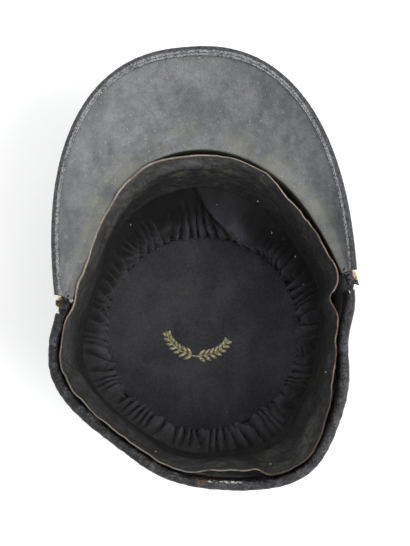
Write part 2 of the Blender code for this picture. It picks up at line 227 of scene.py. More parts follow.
@dataclass(frozen=True, eq=False)
class CapForm:
    """Shape of the cap's wall, rim and peak, worked out from its driving sizes."""

    crown_radius: float = 0.0715
    rim_half_width: float = 0.088
    rim_half_length: float = 0.098
    rim_forward: float = 0.0135
    front_height: float = 0.086
    back_height: float = 0.116
    wall_fullness: float = 0.0015
    cloth: float = 0.0012
    peak_leather: float = 0.0016
    binding_leather: float = 0.0010
    clearance: float = 0.00035
    seam_turn: float = 0.0016
    peak_gap: float = 0.0060
    peak_length: float = 0.0530
    peak_shoulder_right: float = 0.0060
    peak_shoulder_left: float = 0.0040
    peak_rise: float = 0.019
    peak_side_rise: float = 0.0045
    peak_hollow: float = 0.0018
    peak_squareness: float = 2.4
    root_reach: float = 0.0018
    root_swell: float = 0.0022
    root_pull: float = 0.0028
    button_right: float = -12.0
    button_left: float = -168.9
    strap_tail: float = 0.0065
    binding_gap: float = 0.0012

    @property
    def wall_half(self) -> float:
        """Half the thickness of the two cloth layers at the rim."""
        return self.clearance / 2 + self.cloth

    @property
    def side_inset(self) -> float:
        """Distance from the seam line to the middle of either cloth layer."""
        return self.clearance / 2 + self.cloth / 2

    @property
    def binding_radius(self) -> float:
        """Radius of the leather turned over the rim, at the leather's middle."""
        return self.wall_half + self.clearance + self.binding_leather / 2

    @property
    def flange_inset(self) -> float:
        """Distance from the seam line to the middle of the peak's flange."""
        return self.wall_half + self.clearance + self.peak_leather / 2

    @property
    def seam_height(self) -> float:
        """Height of the wall's turned-in edge over the surface that the cap rests on."""
        return self.cloth + self.clearance + self.cloth / 2

    def turn_for(self, length: float) -> float:
        """Degrees round the rim that a length takes up at its sides."""
        return math.degrees(length / self.rim_half_width)

    @property
    def peak_start(self) -> float:
        """Angle of the peak's end at the wearer's right."""
        return self.button_right - self.turn_for(self.peak_gap)

    @property
    def peak_end(self) -> float:
        """Angle of the peak's end at the wearer's left."""
        return self.button_left + self.turn_for(self.peak_gap)

    @property
    def strap_start(self) -> float:
        """Angle of the chin strap's end at the wearer's right."""
        return self.button_right + self.turn_for(self.strap_tail)

    @property
    def strap_end(self) -> float:
        """Angle of the chin strap's end at the wearer's left."""
        return self.button_left - self.turn_for(self.strap_tail)

    @property
    def binding_start(self) -> float:
        """Angle where the rim's binding starts at the wearer's right."""
        return self.strap_start + self.turn_for(self.binding_gap)

    @property
    def binding_end(self) -> float:
        """Angle where the rim's binding ends at the wearer's left."""
        return self.strap_end - self.turn_for(self.binding_gap) + 360.0

    def rim_point(self, angle: float) -> Vector:
        """Point of the rim's seam line, an egg with the cap's dents and bulges.

        Args:
            angle: Degrees round the opening.

        Returns:
            The point.
        """
        turn = math.radians(angle)
        across = math.cos(turn) / self.rim_half_width
        along = math.sin(turn) / self.rim_half_length
        radius = 1.0 / math.hypot(across, along)
        for fold in RIM_FOLDS:
            radius += self.rim_half_width * fold.depth * bell(wrapped(angle - fold.angle), fold.spread)
        x = radius * math.cos(turn)
        y = radius * math.sin(turn)
        back_share = (y + self.rim_half_length) / (2 * self.rim_half_length)
        height = self.front_height + (self.back_height - self.front_height) * back_share
        return Vector((x, y - self.rim_forward, height))

    def crown_edge_point(self, angle: float) -> Vector:
        """Point where the wall starts to turn in under the crown's seam."""
        turn = math.radians(angle)
        height = self.seam_height + self.seam_turn
        return Vector((self.crown_radius * math.cos(turn), self.crown_radius * math.sin(turn), height))

    @lru_cache(maxsize=None)
    def station(self, angle: float) -> Station:
        """The wall's rim point, line down to the crown and directions away from the head."""
        rim = self.rim_point(angle)
        line = self.crown_edge_point(angle) - rim
        along = self.rim_point(angle + 1.0) - self.rim_point(angle - 1.0)
        level = Vector((along.y, -along.x, 0.0)).normalized()
        square = (level - line * level.dot(line) / line.length_squared).normalized()
        return Station(rim, line, square, level)

    def wall_point(self, angle: float, drop: float, inset: float = 0.0) -> Vector:
        """Point of the wall.

        Args:
            angle: Degrees round the opening.
            drop: Distance below the rim.
            inset: Distance from the seam line towards the head.

        Returns:
            The point.
        """
        place = self.station(angle)
        share = drop / place.line.length
        fullness = self.wall_fullness * math.sin(math.pi * min(max(share, 0.0), 1.0)) ** 2
        return place.rim + place.line * share + place.square * (fullness - inset)

    def wall_frame(self, angle: float, drop: float) -> tuple[Vector, Vector]:
        """Point of the wall and the direction square to it, away from the head."""
        along = self.wall_point(angle + 1.0, drop) - self.wall_point(angle - 1.0, drop)
        rise = self.wall_point(angle, 0.0) - self.wall_point(angle, 2 * drop)
        return self.wall_point(angle, drop), along.cross(rise).normalized()

    def root_inset(self, angle: float) -> float:
        """How far the peak's root reaches in over the rim at one angle."""
        front = ease(-168.0, -140.0, wrapped(angle)) * ease(-12.0, -30.0, wrapped(angle))
        swell = self.root_swell * bell(wrapped(angle + 56.0), 15.0)
        pull = self.root_pull * bell(wrapped(angle + 37.0), 12.0)
        return max(self.root_reach * front + swell - pull, 0.0)

    @lru_cache(maxsize=None)
    def peak_edge_point(self, share: float) -> Vector:
        """Point of the peak's cut edge, share 0 at the wearer's right and 1 at the left.

        Args:
            share: Share along the edge.

        Returns:
            The point.
        """
        start, end = self.station(self.peak_start), self.station(self.peak_end)
        right = start.rim + start.level * self.peak_shoulder_right
        left = end.rim + end.level * self.peak_shoulder_left
        across = math.cos(math.pi * share)
        forward = max(math.sin(math.pi * share), 0.0)
        reach = 2.0 / self.peak_squareness
        middle = (right + left) / 2
        half_width = (right.x - left.x) / 2
        tip = self.rim_point(-90.0) - Vector((0.0, self.peak_length, 0.0))
        x = middle.x + half_width * math.copysign(abs(across) ** reach, across)
        root = middle + (right - left) / 2 * across
        y = root.y + (tip.y - root.y) * forward ** reach
        tip_lift = self.front_height + self.peak_rise - root.z
        lift = self.peak_side_rise + (tip_lift - self.peak_side_rise) * math.sqrt(forward)
        return Vector((x, y, root.z + lift))

    def peak_point(self, share: float, reach: float) -> Vector:
        """Middle of the peak's leather, reach 0 at the rim and 1 at the cut edge."""
        angle = self.peak_start + (self.peak_end - self.peak_start) * share
        rim = self.wall_point(angle, -self.peak_leather - self.clearance, -self.binding_radius)
        edge = self.peak_edge_point(share)
        hollow = self.peak_hollow * math.sin(math.pi * reach) * math.sin(math.pi * share)
        return rim + (edge - rim) * reach - UP * hollow

    def peak_frame(self, share: float, reach: float) -> tuple[Vector, Vector, Vector]:
        """Point of the peak, its run along the edge and its upward normal."""
        step = 0.015
        before = self.peak_point(max(share - step, 0.0), reach)
        after = self.peak_point(min(share + step, 1.0), reach)
        outer = self.peak_point(share, reach + 0.05) - self.peak_point(share, reach - 0.05)
        along = (before - after).normalized()
        return self.peak_point(share, reach), along, outer.cross(along).normalized()


def mesh_from(form: Form, name: str) -> bpy.types.Mesh:
    """Smooth-shaded mesh from a bmesh, which is freed."""
    for face in form.faces:
        face.smooth = True
    mesh = bpy.data.meshes.new(name)
    form.to_mesh(mesh)
    form.free()
    return mesh


def surface_mesh(name: str, columns: int, rows: int, place: Place, ring: bool = False,
                 tone: Optional[Callable[[float, float], float]] = None) -> bpy.types.Mesh:
    """Open surface laid through a grid.

    Args:
        name: Name of the mesh.
        columns: Faces along the surface.
        rows: Faces down the surface.
        place: Gives the point at a share along and a share down.
        ring: Whether the last column meets the first.
        tone: Gives a value at a share along and a share down, which the finish reads as painted light and
            shade.

    Returns:
        The mesh, with the shares along and down as its UV map.
    """
    form = bmesh.new()
    bmesh.ops.create_grid(form, x_segments=columns, y_segments=rows, size=0.5)
    if tone is not None:
        value = form.verts.layers.float.new("tone")
        for vert in form.verts:
            vert[value] = tone(vert.co.x + 0.5, vert.co.y + 0.5)
    layer = form.loops.layers.uv.new("surface")
    for face in form.faces:
        for loop in face.loops:
            loop[layer].uv = (loop.vert.co.x + 0.5, loop.vert.co.y + 0.5)
    for vert in form.verts:
        vert.co = place(vert.co.x + 0.5, vert.co.y + 0.5)
    if ring:
        bmesh.ops.remove_doubles(form, verts=form.verts, dist=SEAM_MERGE)
    bmesh.ops.recalc_face_normals(form, faces=form.faces)
    return mesh_from(form, name)


def turned_form(profile: Iterable[tuple[float, float]], steps: int) -> Form:
    """Closed form turned round Z from (radius, height) pairs.

    Args:
        profile: Radius and height of each point.
        steps: Faces round it.

    Returns:
        The form.
    """
    form = bmesh.new()
    line = [form.verts.new((radius, 0.0, height)) for radius, height in profile]
    edges = [form.edges.new(pair) for pair in zip(line, line[1:])]
    bmesh.ops.spin(form, geom=line + edges, axis=UP, cent=(0, 0, 0), angle=2 * math.pi,
                   steps=steps, use_merge=True)
    bmesh.ops.remove_doubles(form, verts=form.verts, dist=SEAM_MERGE)
    bmesh.ops.recalc_face_normals(form, faces=form.faces)
    return form


def add_piece(name: str, mesh: bpy.types.Mesh, finishes: Iterable[Finish],
              slot: Optional[Slot] = None, replaced: Iterable[str] = ()) -> Piece:
    """Object for one piece, riding on the cap.

    Args:
        name: Name of the piece.
        mesh: Its mesh.
        finishes: Its materials, in the order of the mesh's material numbers.
        slot: Slot of the record that its finish belongs to; not used.
        replaced: Nodes that it stands for.

    Returns:
        The object.
    """
    piece = bpy.data.objects.new(name, mesh)
    bpy.context.scene.collection.objects.link(piece)
    for finish in finishes:
        mesh.materials.append(finish)
    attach(piece, BODY)
    if replaced:
        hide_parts(*replaced)
    return piece


def give_wall(piece: Piece, thickness: float, rounding: float = 0.0, rim: int = 0,
              even: bool = True) -> None:
    """Give an open surface its wall and soft edges.

    Args:
        piece: Object to thicken, half on either side.
        thickness: Thickness of the wall.
        rounding: Width of the rounded edges, none at zero.
        rim: Material number offset of the cut edges.
        even: Whether tight bends keep the full thickness.
    """
    wall = piece.modifiers.new("wall", "SOLIDIFY")
    wall.thickness = thickness
    wall.offset = 0.0
    wall.use_even_offset = even
    wall.use_quality_normals = True
    wall.material_offset_rim = rim
    if rounding:
        edge = piece.modifiers.new("edge", "BEVEL")
        edge.width = rounding
        edge.segments = 2
        edge.limit_method = "ANGLE"
        edge.angle_limit = math.radians(55.0)
        edge.harden_normals = False


def soften(piece: Piece) -> None:
    """Round a coarse surface with one subdivision."""
    smooth = piece.modifiers.new("smooth", "SUBSURF")
    smooth.levels = smooth.render_levels = 1


def add_ball(form: Form, place: Vector, turn: Matrix, halves: Iterable[float],
             fineness: int = 1) -> list[bmesh.types.BMVert]:
    """Add a ball stretched to three half sizes and give its vertices."""
    stand = Matrix.Translation(place) @ turn @ Matrix.Diagonal((*halves, 1.0))
    return bmesh.ops.create_icosphere(form, subdivisions=fineness, radius=1.0, matrix=stand)["verts"]


def stitch_mesh(name: str, route: Route, length: float, pitch: float, radius: float,
                seed: int) -> bpy.types.Mesh:
    """Row of sewn stitches.

    Args:
        name: Name of the mesh.
        route: Gives the point and the outward normal at a share of the row.
        length: Length of the row.
        pitch: Distance from stitch to stitch.
        radius: Half the thread's thickness.
        seed: Seed of the stitches' small unevenness.

    Returns:
        The mesh of the joined stitches.
    """
    draw = random.Random(seed)
    form = bmesh.new()
    count = max(int(length / pitch), 1)
    for index in range(count):
        middle = (index + 0.5 + draw.uniform(-0.07, 0.07)) / count
        point, normal = route(middle)
        ahead, _ = route(min(middle + 0.35 / count, 1.0))
        along = (ahead - point).normalized()
        side = normal.cross(along).normalized()
        half = pitch * draw.uniform(0.34, 0.42)
        turn = Matrix((along, side, normal)).transposed().to_4x4()
        add_ball(form, point, turn, (half, radius, radius * 0.85))
    return mesh_from(form, name)


class Sketch:
    """Adds linked nodes to one node tree."""

    def __init__(self, tree: bpy.types.NodeTree) -> None:
        """Keep the tree that the nodes go into."""
        self.tree = tree

    def feed(self, socket: Socket, value: Value) -> None:
        """Link a socket, or set its value."""
        if isinstance(value, Socket):
            self.tree.links.new(value, socket)
        elif isinstance(value, tuple) and len(value) == 3 and socket.type == "RGBA":
            socket.default_value = (*value, 1.0)
        else:
            socket.default_value = value

    def add(self, kind: str, inputs: Optional[dict[Union[str, int], Value]] = None,
            **settings: object) -> bpy.types.Node:
        """Add a node.

        Args:
            kind: Type name of the node.
            inputs: Values of its sockets, or the sockets that feed them.
            settings: Properties of the node.

        Returns:
            The node.
        """
        made = self.tree.nodes.new(kind)
        for key, value in settings.items():
            setattr(made, key, value)
        for key, value in (inputs or {}).items():
            self.feed(made.inputs[key], value)
        return made

    def math(self, operation: str, first: Value, second: Value = 0.0, clamp: bool = False) -> Socket:
        """Sum, difference or the like of two values."""
        node = self.add("ShaderNodeMath", {0: first, 1: second}, operation=operation, use_clamp=clamp)
        return node.outputs[0]

    def times(self, first: Value, second: Value) -> Socket:
        """Product of two values."""
        return self.math("MULTIPLY", first, second)

    def step(self, value: Value, low: Value, high: Value, to_low: float = 0.0,
             to_high: float = 1.0) -> Socket:
        """Soft step of a value between two levels."""
        node = self.add("ShaderNodeMapRange",
                        {"Value": value, "From Min": low, "From Max": high,
                         "To Min": to_low, "To Max": to_high}, interpolation_type="SMOOTHSTEP")
        return node.outputs["Result"]

    def blend(self, share: Value, first: Value, second: Value, kind: str = "MIX") -> Socket:
        """Colour between two colours."""
        node = self.add("ShaderNodeMix", {"Factor": share}, data_type="RGBA", blend_type=kind)
        self.feed(node.inputs[6], first)
        self.feed(node.inputs[7], second)
        return node.outputs[2]

    def noise(self, vector: Value, scale: Value, detail: float = 3.0, rough: float = 0.55,
              distortion: float = 0.0) -> Socket:
        """Cloudy value from 0 to 1."""
        node = self.add("ShaderNodeTexNoise",
                        {"Vector": vector, "Scale": scale, "Detail": detail, "Roughness": rough,
                         "Distortion": distortion})
        return node.outputs["Fac"]

    def shade(self, colour: Value, factor: Value) -> Socket:
        """Colour multiplied by a value."""
        grey = self.add("ShaderNodeCombineColor", {0: factor, 1: factor, 2: factor}).outputs[0]
        return self.blend(1.0, colour, grey, "MULTIPLY")

    def vary(self, colour: Value, value: Value, low: float, high: float, dark: float,
             light: float) -> Socket:
        """Colour shaded by a soft step of a value."""
        return self.shade(colour, self.step(value, low, high, dark, light))

    def stain(self, colour: Value, mask: Value, share: Value, stained: Value) -> Socket:
        """Colour stained with another one by a share of a mask."""
        return self.blend(self.times(mask, share), colour, stained)

    def mapped(self, vector: Value, scale: tuple[float, float, float]) -> Socket:
        """Coordinates scaled along each axis."""
        return self.add("ShaderNodeMapping", {"Vector": vector, "Scale": scale}).outputs[0]

    def group(self, tree: bpy.types.NodeTree, inputs: dict[str, Value]) -> Socket:
        """First output of a shared node group."""
        return self.add("ShaderNodeGroup", inputs, node_tree=tree).outputs[0]

    def bump(self, height: Value, depth: float, strength: float = 1.0,
             normal: Optional[Socket] = None) -> Socket:
        """Normal of a fine relief, its depth in metres."""
        inputs: dict[Union[str, int], Value] = {"Height": height, "Distance": depth, "Strength": strength}
        if normal is not None:
            inputs["Normal"] = normal
        return self.add("ShaderNodeBump", inputs).outputs[0]


def open_group(name: str, inputs: dict[str, tuple[str, float]],
               outputs: Iterable[str]) -> tuple[Sketch, bpy.types.Node, bpy.types.Node]:
    """Empty node group.

    Args:
        name: Name of the group.
        inputs: Socket kind and default value of each input.
        outputs: Names of the value outputs.

    Returns:
        The sketch of its tree, its input node and its output node.
    """
    tree = bpy.data.node_groups.new(name, "ShaderNodeTree")
    for key, (kind, value) in inputs.items():
        socket = tree.interface.new_socket(name=key, in_out="INPUT", socket_type=f"NodeSocket{kind}")
        if kind == "Float":
            socket.default_value = value
    for key in outputs:
        tree.interface.new_socket(name=key, in_out="OUTPUT", socket_type="NodeSocketFloat")
    return Sketch(tree), tree.nodes.new("NodeGroupInput"), tree.nodes.new("NodeGroupOutput")


@lru_cache(maxsize=None)
def patches_group() -> bpy.types.NodeTree:
    """Cloudy patches with soft borders, for stains, bloom and uneven dye."""
    sketch, entry, leave = open_group(
        "patches", {"Vector": ("Vector", 0.0), "Scale": ("Float", 20.0), "Low": ("Float", 0.45),
                    "High": ("Float", 0.65)}, ["Mask"])
    cloud = sketch.noise(entry.outputs["Vector"], entry.outputs["Scale"], 5.0, 0.6, 0.4)
    mask = sketch.step(cloud, entry.outputs["Low"], entry.outputs["High"])
    sketch.tree.links.new(mask, leave.inputs["Mask"])
    return sketch.tree


@lru_cache(maxsize=None)
def specks_group() -> bpy.types.NodeTree:
    """Scattered small round specks, for dust, mould spots and pinholes."""
    sketch, entry, leave = open_group(
        "specks", {"Vector": ("Vector", 0.0), "Scale": ("Float", 300.0), "Size": ("Float", 0.2),
                   "Share": ("Float", 0.1)}, ["Mask"])
    cells = sketch.add("ShaderNodeTexVoronoi",
                       {"Vector": entry.outputs["Vector"], "Scale": entry.outputs["Scale"]})
    near = sketch.step(cells.outputs["Distance"], entry.outputs["Size"], 0.0)
    parts = sketch.add("ShaderNodeSeparateColor", {"Color": cells.outputs["Color"]})
    picked = sketch.math("LESS_THAN", parts.outputs[0], entry.outputs["Share"])
    mask = sketch.times(near, picked)
    sketch.tree.links.new(mask, leave.inputs["Mask"])
    return sketch.tree


@lru_cache(maxsize=None)
def grain_group() -> bpy.types.NodeTree:
    """Leather grain: rounded pebbles between fine creases."""
    sketch, entry, leave = open_group(
        "leather_grain", {"Vector": ("Vector", 0.0), "Scale": ("Float", 900.0), "Creases": ("Float", 0.5)},
        ["Height"])
    drift = sketch.add("ShaderNodeTexNoise",
                       {"Vector": entry.outputs["Vector"], "Scale": 160.0, "Detail": 2.0})
    moved = sketch.add("ShaderNodeVectorMath", {0: drift.outputs["Color"]}, operation="SCALE")
    moved.inputs["Scale"].default_value = 0.003
    place = sketch.add("ShaderNodeVectorMath", {0: entry.outputs["Vector"], 1: moved.outputs[0]},
                       operation="ADD").outputs[0]
    pebbles = sketch.add("ShaderNodeTexVoronoi",
                         {"Vector": place, "Scale": entry.outputs["Scale"], "Smoothness": 0.35},
                         feature="SMOOTH_F1")
    folds = sketch.noise(place, 260.0, 6.0, 0.7)
    ridge = sketch.times(folds, entry.outputs["Creases"])
    lowered = sketch.math("SUBTRACT", 1.0, pebbles.outputs["Distance"])
    height = sketch.math("ADD", lowered, ridge)
    sketch.tree.links.new(height, leave.inputs["Height"])
    return sketch.tree


@lru_cache(maxsize=None)
def weave_group() -> bpy.types.NodeTree:
    """Twill weave: slanting ribs broken by the crossing threads."""
    sketch, entry, leave = open_group(
        "twill_weave", {"Vector": ("Vector", 0.0), "Scale": ("Float", 1500.0)}, ["Height"])
    parts = []
    for direction in ("DIAGONAL", "Y"):
        wave = sketch.add("ShaderNodeTexWave",
                          {"Vector": entry.outputs["Vector"], "Scale": entry.outputs["Scale"],
                           "Distortion": 0.6, "Detail": 1.0, "Detail Scale": 0.5},
                          wave_type="BANDS", bands_direction=direction)
        parts.append(wave.outputs["Fac"])
    ribs = sketch.times(parts[0], 0.7)
    cross = sketch.times(parts[1], 0.3)
    sketch.tree.links.new(sketch.math("ADD", ribs, cross), leave.inputs["Height"])
    return sketch.tree


@lru_cache(maxsize=None)
def window_group() -> bpy.types.NodeTree:
    """Soft window round one value, for wear that lies in one place."""
    sketch, entry, leave = open_group(
        "window", {"Value": ("Float", 0.5), "Middle": ("Float", 0.5), "Half": ("Float", 0.1),
                   "Soft": ("Float", 0.05)}, ["Mask"])
    away = sketch.math("SUBTRACT", entry.outputs["Value"], entry.outputs["Middle"])
    past = sketch.math("SUBTRACT", sketch.math("ABSOLUTE", away), entry.outputs["Half"])
    mask = sketch.step(past, entry.outputs["Soft"], 0.0)
    sketch.tree.links.new(mask, leave.inputs["Mask"])
    return sketch.tree


class Palette:
    """Opens a material and gives its coordinates."""

    def __init__(self, name: str) -> None:
        """Make the material and keep its shader."""
        self.material = bpy.data.materials.new(name)
        self.material.use_nodes = True
        self.sketch = Sketch(self.material.node_tree)
        self.shader = self.material.node_tree.nodes["Principled BSDF"]
        coordinates = self.sketch.add("ShaderNodeTexCoord")
        self.place = coordinates.outputs["Object"]
        self.surface = coordinates.outputs["UV"]

    @property
    def along_down(self) -> tuple[Socket, Socket]:
        """Shares along and down the surface."""
        parts = self.sketch.add("ShaderNodeSeparateXYZ", {"Vector": self.surface})
        return parts.outputs[0], parts.outputs[1]

    @property
    def tone(self) -> Socket:
        """Value that the surface carries for painted light and shade, 0 in its hollows and 1 on its
        heights.
        """
        return self.sketch.add("ShaderNodeAttribute", attribute_name="tone").outputs["Fac"]

    def set(self, **values: Value) -> Finish:
        """Set or link the shader's sockets, underscores standing for spaces."""
        for key, value in values.items():
            self.sketch.feed(self.shader.inputs[key.replace("_", " ")], value)
        return self.material

    def patches(self, scale: float, low: float, high: float) -> Socket:
        """Mask of cloudy patches."""
        inputs = {"Vector": self.place, "Scale": scale, "Low": low, "High": high}
        return self.sketch.group(patches_group(), inputs)

    def specks(self, scale: float, size: float, share: float) -> Socket:
        """Mask of scattered specks."""
        inputs = {"Vector": self.place, "Scale": scale, "Size": size, "Share": share}
        return self.sketch.group(specks_group(), inputs)

    def grain(self, scale: float, creases: float) -> Socket:
        """Height of leather grain."""
        inputs = {"Vector": self.place, "Scale": scale, "Creases": creases}
        return self.sketch.group(grain_group(), inputs)

    def weave(self, scale: float) -> Socket:
        """Height of a twill weave."""
        return self.sketch.group(weave_group(), {"Vector": self.place, "Scale": scale})

    def window(self, value: Socket, middle: float, half: float, soft: float) -> Socket:
        """Mask that is 1 near one value."""
        inputs = {"Value": value, "Middle": middle, "Half": half, "Soft": soft}
        return self.sketch.group(window_group(), inputs)


@dataclass(frozen=True)
class PeakLeather:
    """Satin grey-black leather, blotched, with pale bloom along the band, painted shade towards its ends,
    painted light in patches at its end on the wearer's right, and darkened where it tucks in at the rim,
    partly dirt and partly painted shade.
    """

    dark: Colour = (0.080, 0.084, 0.089)
    light: Colour = (0.188, 0.194, 0.196)
    bloom: Colour = (0.185, 0.182, 0.140)
    # near black over the flange and its bend, partly dirt and partly painted shade
    flange: Colour = (0.0110, 0.0100, 0.0065)
    speck: Colour = (0.52, 0.50, 0.44)
    painted_light_grey: Colour = (0.17, 0.172, 0.172)
    mould: Colour = (0.33, 0.31, 0.22)
    spot: Colour = (0.30, 0.29, 0.235)
    pinhole: Colour = (0.030, 0.031, 0.033)

    def make(self) -> Finish:
        """Material of the peak."""
        paint = Palette("peak_leather")
        sketch = paint.sketch
        along, down = paint.along_down
        streaks = sketch.noise(sketch.mapped(paint.surface, (24.0, 1.6, 1.0)), 1.0, 4.0, 0.6, 0.9)
        broad = paint.patches(19.0, 0.38, 0.62)
        tone = sketch.math("ADD", sketch.times(broad, 0.30),
                           sketch.times(sketch.step(streaks, 0.3, 0.7), 0.34))
        tone = sketch.math("ADD", tone, sketch.times(paint.patches(75.0, 0.40, 0.62), 0.36))
        colour = sketch.blend(tone, self.dark, self.light)
        cloud = sketch.noise(paint.place, 260.0, 5.0, 0.75)
        colour = sketch.vary(colour, cloud, 0.30, 0.72, 0.82, 1.18)
        pores = sketch.noise(paint.place, 1300.0, 2.0, 0.6)
        colour = sketch.vary(colour, pores, 0.30, 0.70, 0.82, 1.18)
        # Painted shade: the peak is darkened towards its end on the wearer's right and a little towards its
        # end on the wearer's left.
        colour = sketch.vary(colour, along, 0.10, 0.46, 0.70, 1.0)
        colour = sketch.vary(colour, along, 0.62, 0.95, 1.0, 0.84)
        # Painted light: paler grey patches towards the peak's end on the wearer's right.
        left_painted_light = sketch.times(sketch.step(along, 0.34, 0.16), paint.patches(38.0, 0.38, 0.62))
        colour = sketch.stain(colour, left_painted_light, 0.10, self.painted_light_grey)
        near_rim = sketch.step(down, 0.42, 0.17)
        bloom = sketch.times(near_rim, paint.patches(62.0, 0.36, 0.64))
        colour = sketch.stain(colour, bloom, 0.55, self.bloom)
        mould = sketch.times(sketch.step(down, 0.60, 0.19), paint.specks(330.0, 0.34, 0.28))
        colour = sketch.stain(colour, mould, 0.50, self.mould)
        colour = sketch.stain(colour, paint.specks(300.0, 0.20, 0.16), 0.60, self.speck)
        spots = sketch.times(paint.specks(150.0, 0.33, 0.22), paint.patches(24.0, 0.38, 0.56))
        colour = sketch.stain(colour, spots, 0.42, self.spot)
        colour = sketch.stain(colour, paint.specks(130.0, 0.12, 0.10), 0.7, self.pinhole)
        # Partly dirt and partly painted shade: the flange and its bend over the rim turn near black where
        # the peak tucks in at the band.
        tucked_shade = sketch.step(down, 0.120, 0.100)
        colour = sketch.blend(tucked_shade, colour, self.flange)
        rough = sketch.step(paint.patches(40.0, 0.3, 0.7), 0.0, 1.0, 0.42, 0.58)
        normal = sketch.bump(paint.grain(1500.0, 0.8), 0.00016, 0.6)
        wrinkled = sketch.bump(cloud, 0.0005, 0.25, normal)
        return paint.set(Base_Color=colour, Roughness=rough, Normal=wrinkled)


@dataclass(frozen=True)
class BindingLeather:
    """Grained black leather of the bindings, scuffed on top of its roll, with painted light and shade from
    its mesh's tone and pale specks that are partly painted glints.

    The wear lies at named shares along and down the strip.
    """

    name: str = "binding_leather"
    dark: Colour = (0.0075, 0.0075, 0.0085)
    scuffed: Colour = (0.055, 0.053, 0.058)
    pale: Colour = (0.26, 0.255, 0.255)
    brown: Colour = (0.070, 0.040, 0.025)
    crack: Colour = (0.66, 0.64, 0.60)
    top_share: float = 0.45
    top_half: float = 0.12
    crack_along: float = -1.0
    crack_down: float = 0.5
    brown_share: float = 0.0
    rough: float = 0.34
    specular: float = 0.42
    scuff_share: float = 1.0
    patchy: tuple[float, float] = (0.36, 0.62)

    def make(self) -> Finish:
        """Material of one binding."""
        paint = Palette(self.name)
        sketch = paint.sketch
        along, down = paint.along_down
        crown = paint.window(down, self.top_share, self.top_half, 0.16)
        pebbles = paint.grain(900.0, 1.5)
        tops = sketch.step(pebbles, 0.95, 1.45)
        worn = sketch.times(crown, paint.patches(110.0, *self.patchy))
        scuffs = sketch.times(sketch.times(tops, worn), self.scuff_share)
        tone = sketch.math("ADD", scuffs, sketch.times(paint.patches(300.0, 0.40, 0.7), 0.25), True)
        colour = sketch.blend(tone, self.dark, self.scuffed)
        # Painted light and shade from the mesh's tone: darker in creases and grooves, lighter on rolls and
        # on the rim's side at the wearer's left; a mesh without a tone is darkened all over.
        colour = sketch.vary(colour, paint.tone, 0.1, 0.9, 0.25, 1.35)
        if self.brown_share:
            edge = sketch.times(sketch.step(down, 0.76, 0.96), paint.patches(120.0, 0.38, 0.58))
            colour = sketch.stain(colour, edge, self.brown_share, self.brown)
        # Pale specks: partly worn grain and partly painted glints on the glossy grain.
        colour = sketch.stain(colour, paint.specks(620.0, 0.30, 0.14), 0.65, self.pale)
        if self.crack_along > 0:
            where = sketch.times(paint.window(along, self.crack_along, 0.026, 0.014),
                                paint.window(down, self.crack_down, 0.014, 0.040))
            flakes = sketch.times(where, paint.patches(520.0, 0.46, 0.54))
            colour = sketch.blend(flakes, colour, self.crack)
            stained = sketch.times(paint.window(along, self.crack_along - 0.036, 0.006, 0.006),
                                  paint.window(down, self.crack_down, 0.10, 0.06))
            colour = sketch.stain(colour, stained, 0.8, self.brown)
        rough = sketch.step(paint.patches(260.0, 0.35, 0.65), 0.0, 1.0, self.rough, self.rough + 0.22)
        grain = sketch.bump(pebbles, 0.00055, 1.0)
        return paint.set(Base_Color=colour, Roughness=rough, Specular_IOR_Level=self.specular, Normal=grain)


@dataclass(frozen=True)
class SweatLeather:
    """Dull black-brown leather, scuffed and browner towards its raw edge, paler grey on its upper part from
    rubbed wear and painted light, and darkened towards its lower edge as painted shade.
    """

    dark: Colour = (0.0150, 0.0145, 0.0140)
    light: Colour = (0.040, 0.0395, 0.039)
    olive: Colour = (0.110, 0.106, 0.074)
    brown: Colour = (0.050, 0.038, 0.030)
    dust: Colour = (0.17, 0.165, 0.155)
    raw: Colour = (0.42, 0.37, 0.30)
    grey: Colour = (0.070, 0.069, 0.067)
    fleck: Colour = (0.34, 0.33, 0.30)

    def make(self) -> Finish:
        """Material of the sweatband's faces."""
        paint = Palette("sweatband_leather")
        sketch = paint.sketch
        along, down = paint.along_down
        rubbed = sketch.noise(paint.place, 95.0, 6.0, 0.70, 0.8)
        colour = sketch.blend(sketch.step(rubbed, 0.38, 0.66), self.dark, self.light)
        front = paint.window(along, 0.775, 0.05, 0.05)
        middle = paint.window(down, 0.42, 0.10, 0.14)
        olive = sketch.times(sketch.times(front, middle), paint.patches(90.0, 0.44, 0.62))
        colour = sketch.stain(colour, olive, 0.7, self.olive)
        back = sketch.times(paint.window(along, 0.38, 0.05, 0.05), paint.patches(80.0, 0.50, 0.68))
        colour = sketch.stain(colour, back, 0.35, self.olive)
        frayed = sketch.times(paint.window(along, 0.845, 0.115, 0.03), sketch.step(down, 0.020, 0.010))
        colour = sketch.stain(colour, frayed, 0.8, self.raw)
        # Partly rubbed wear and partly painted light: paler grey in patches on the sweatband's upper part.
        upper_wear_and_light = sketch.step(down, 0.34, 0.04)
        colour = sketch.stain(colour, upper_wear_and_light, sketch.step(rubbed, 0.40, 0.70, 0.05, 0.42), self.grey)
        tan = sketch.times(sketch.step(down, 0.12, 0.01), paint.patches(120.0, 0.40, 0.62))
        colour = sketch.stain(colour, tan, 0.55, self.brown)
        # Painted shade: darker towards the sweatband's lower edge.
        colour = sketch.vary(colour, down, 0.30, 0.80, 1.0, 0.45)
        fine = sketch.noise(paint.place, 560.0, 4.0, 0.8)
        colour = sketch.vary(colour, fine, 0.32, 0.68, 0.72, 1.32)
        scratches = sketch.noise(sketch.mapped(paint.surface, (90.0, 240.0, 1.0)), 1.0, 4.0, 0.7, 1.5)
        colour = sketch.blend(sketch.step(scratches, 0.68, 0.80, 0.0, 0.40), colour, self.dust)
        colour = sketch.stain(colour, paint.specks(460.0, 0.20, 0.07), 0.5, self.fleck)
        rough = sketch.step(rubbed, 0.35, 0.7, 0.60, 0.42)
        pebbled = sketch.bump(paint.grain(1500.0, 1.4), 0.00026, 0.8)
        creases = sketch.bump(sketch.noise(paint.place, 210.0, 5.0, 0.7, 1.0), 0.0012, 0.6, pebbled)
        return paint.set(Base_Color=colour, Roughness=rough, Normal=creases)


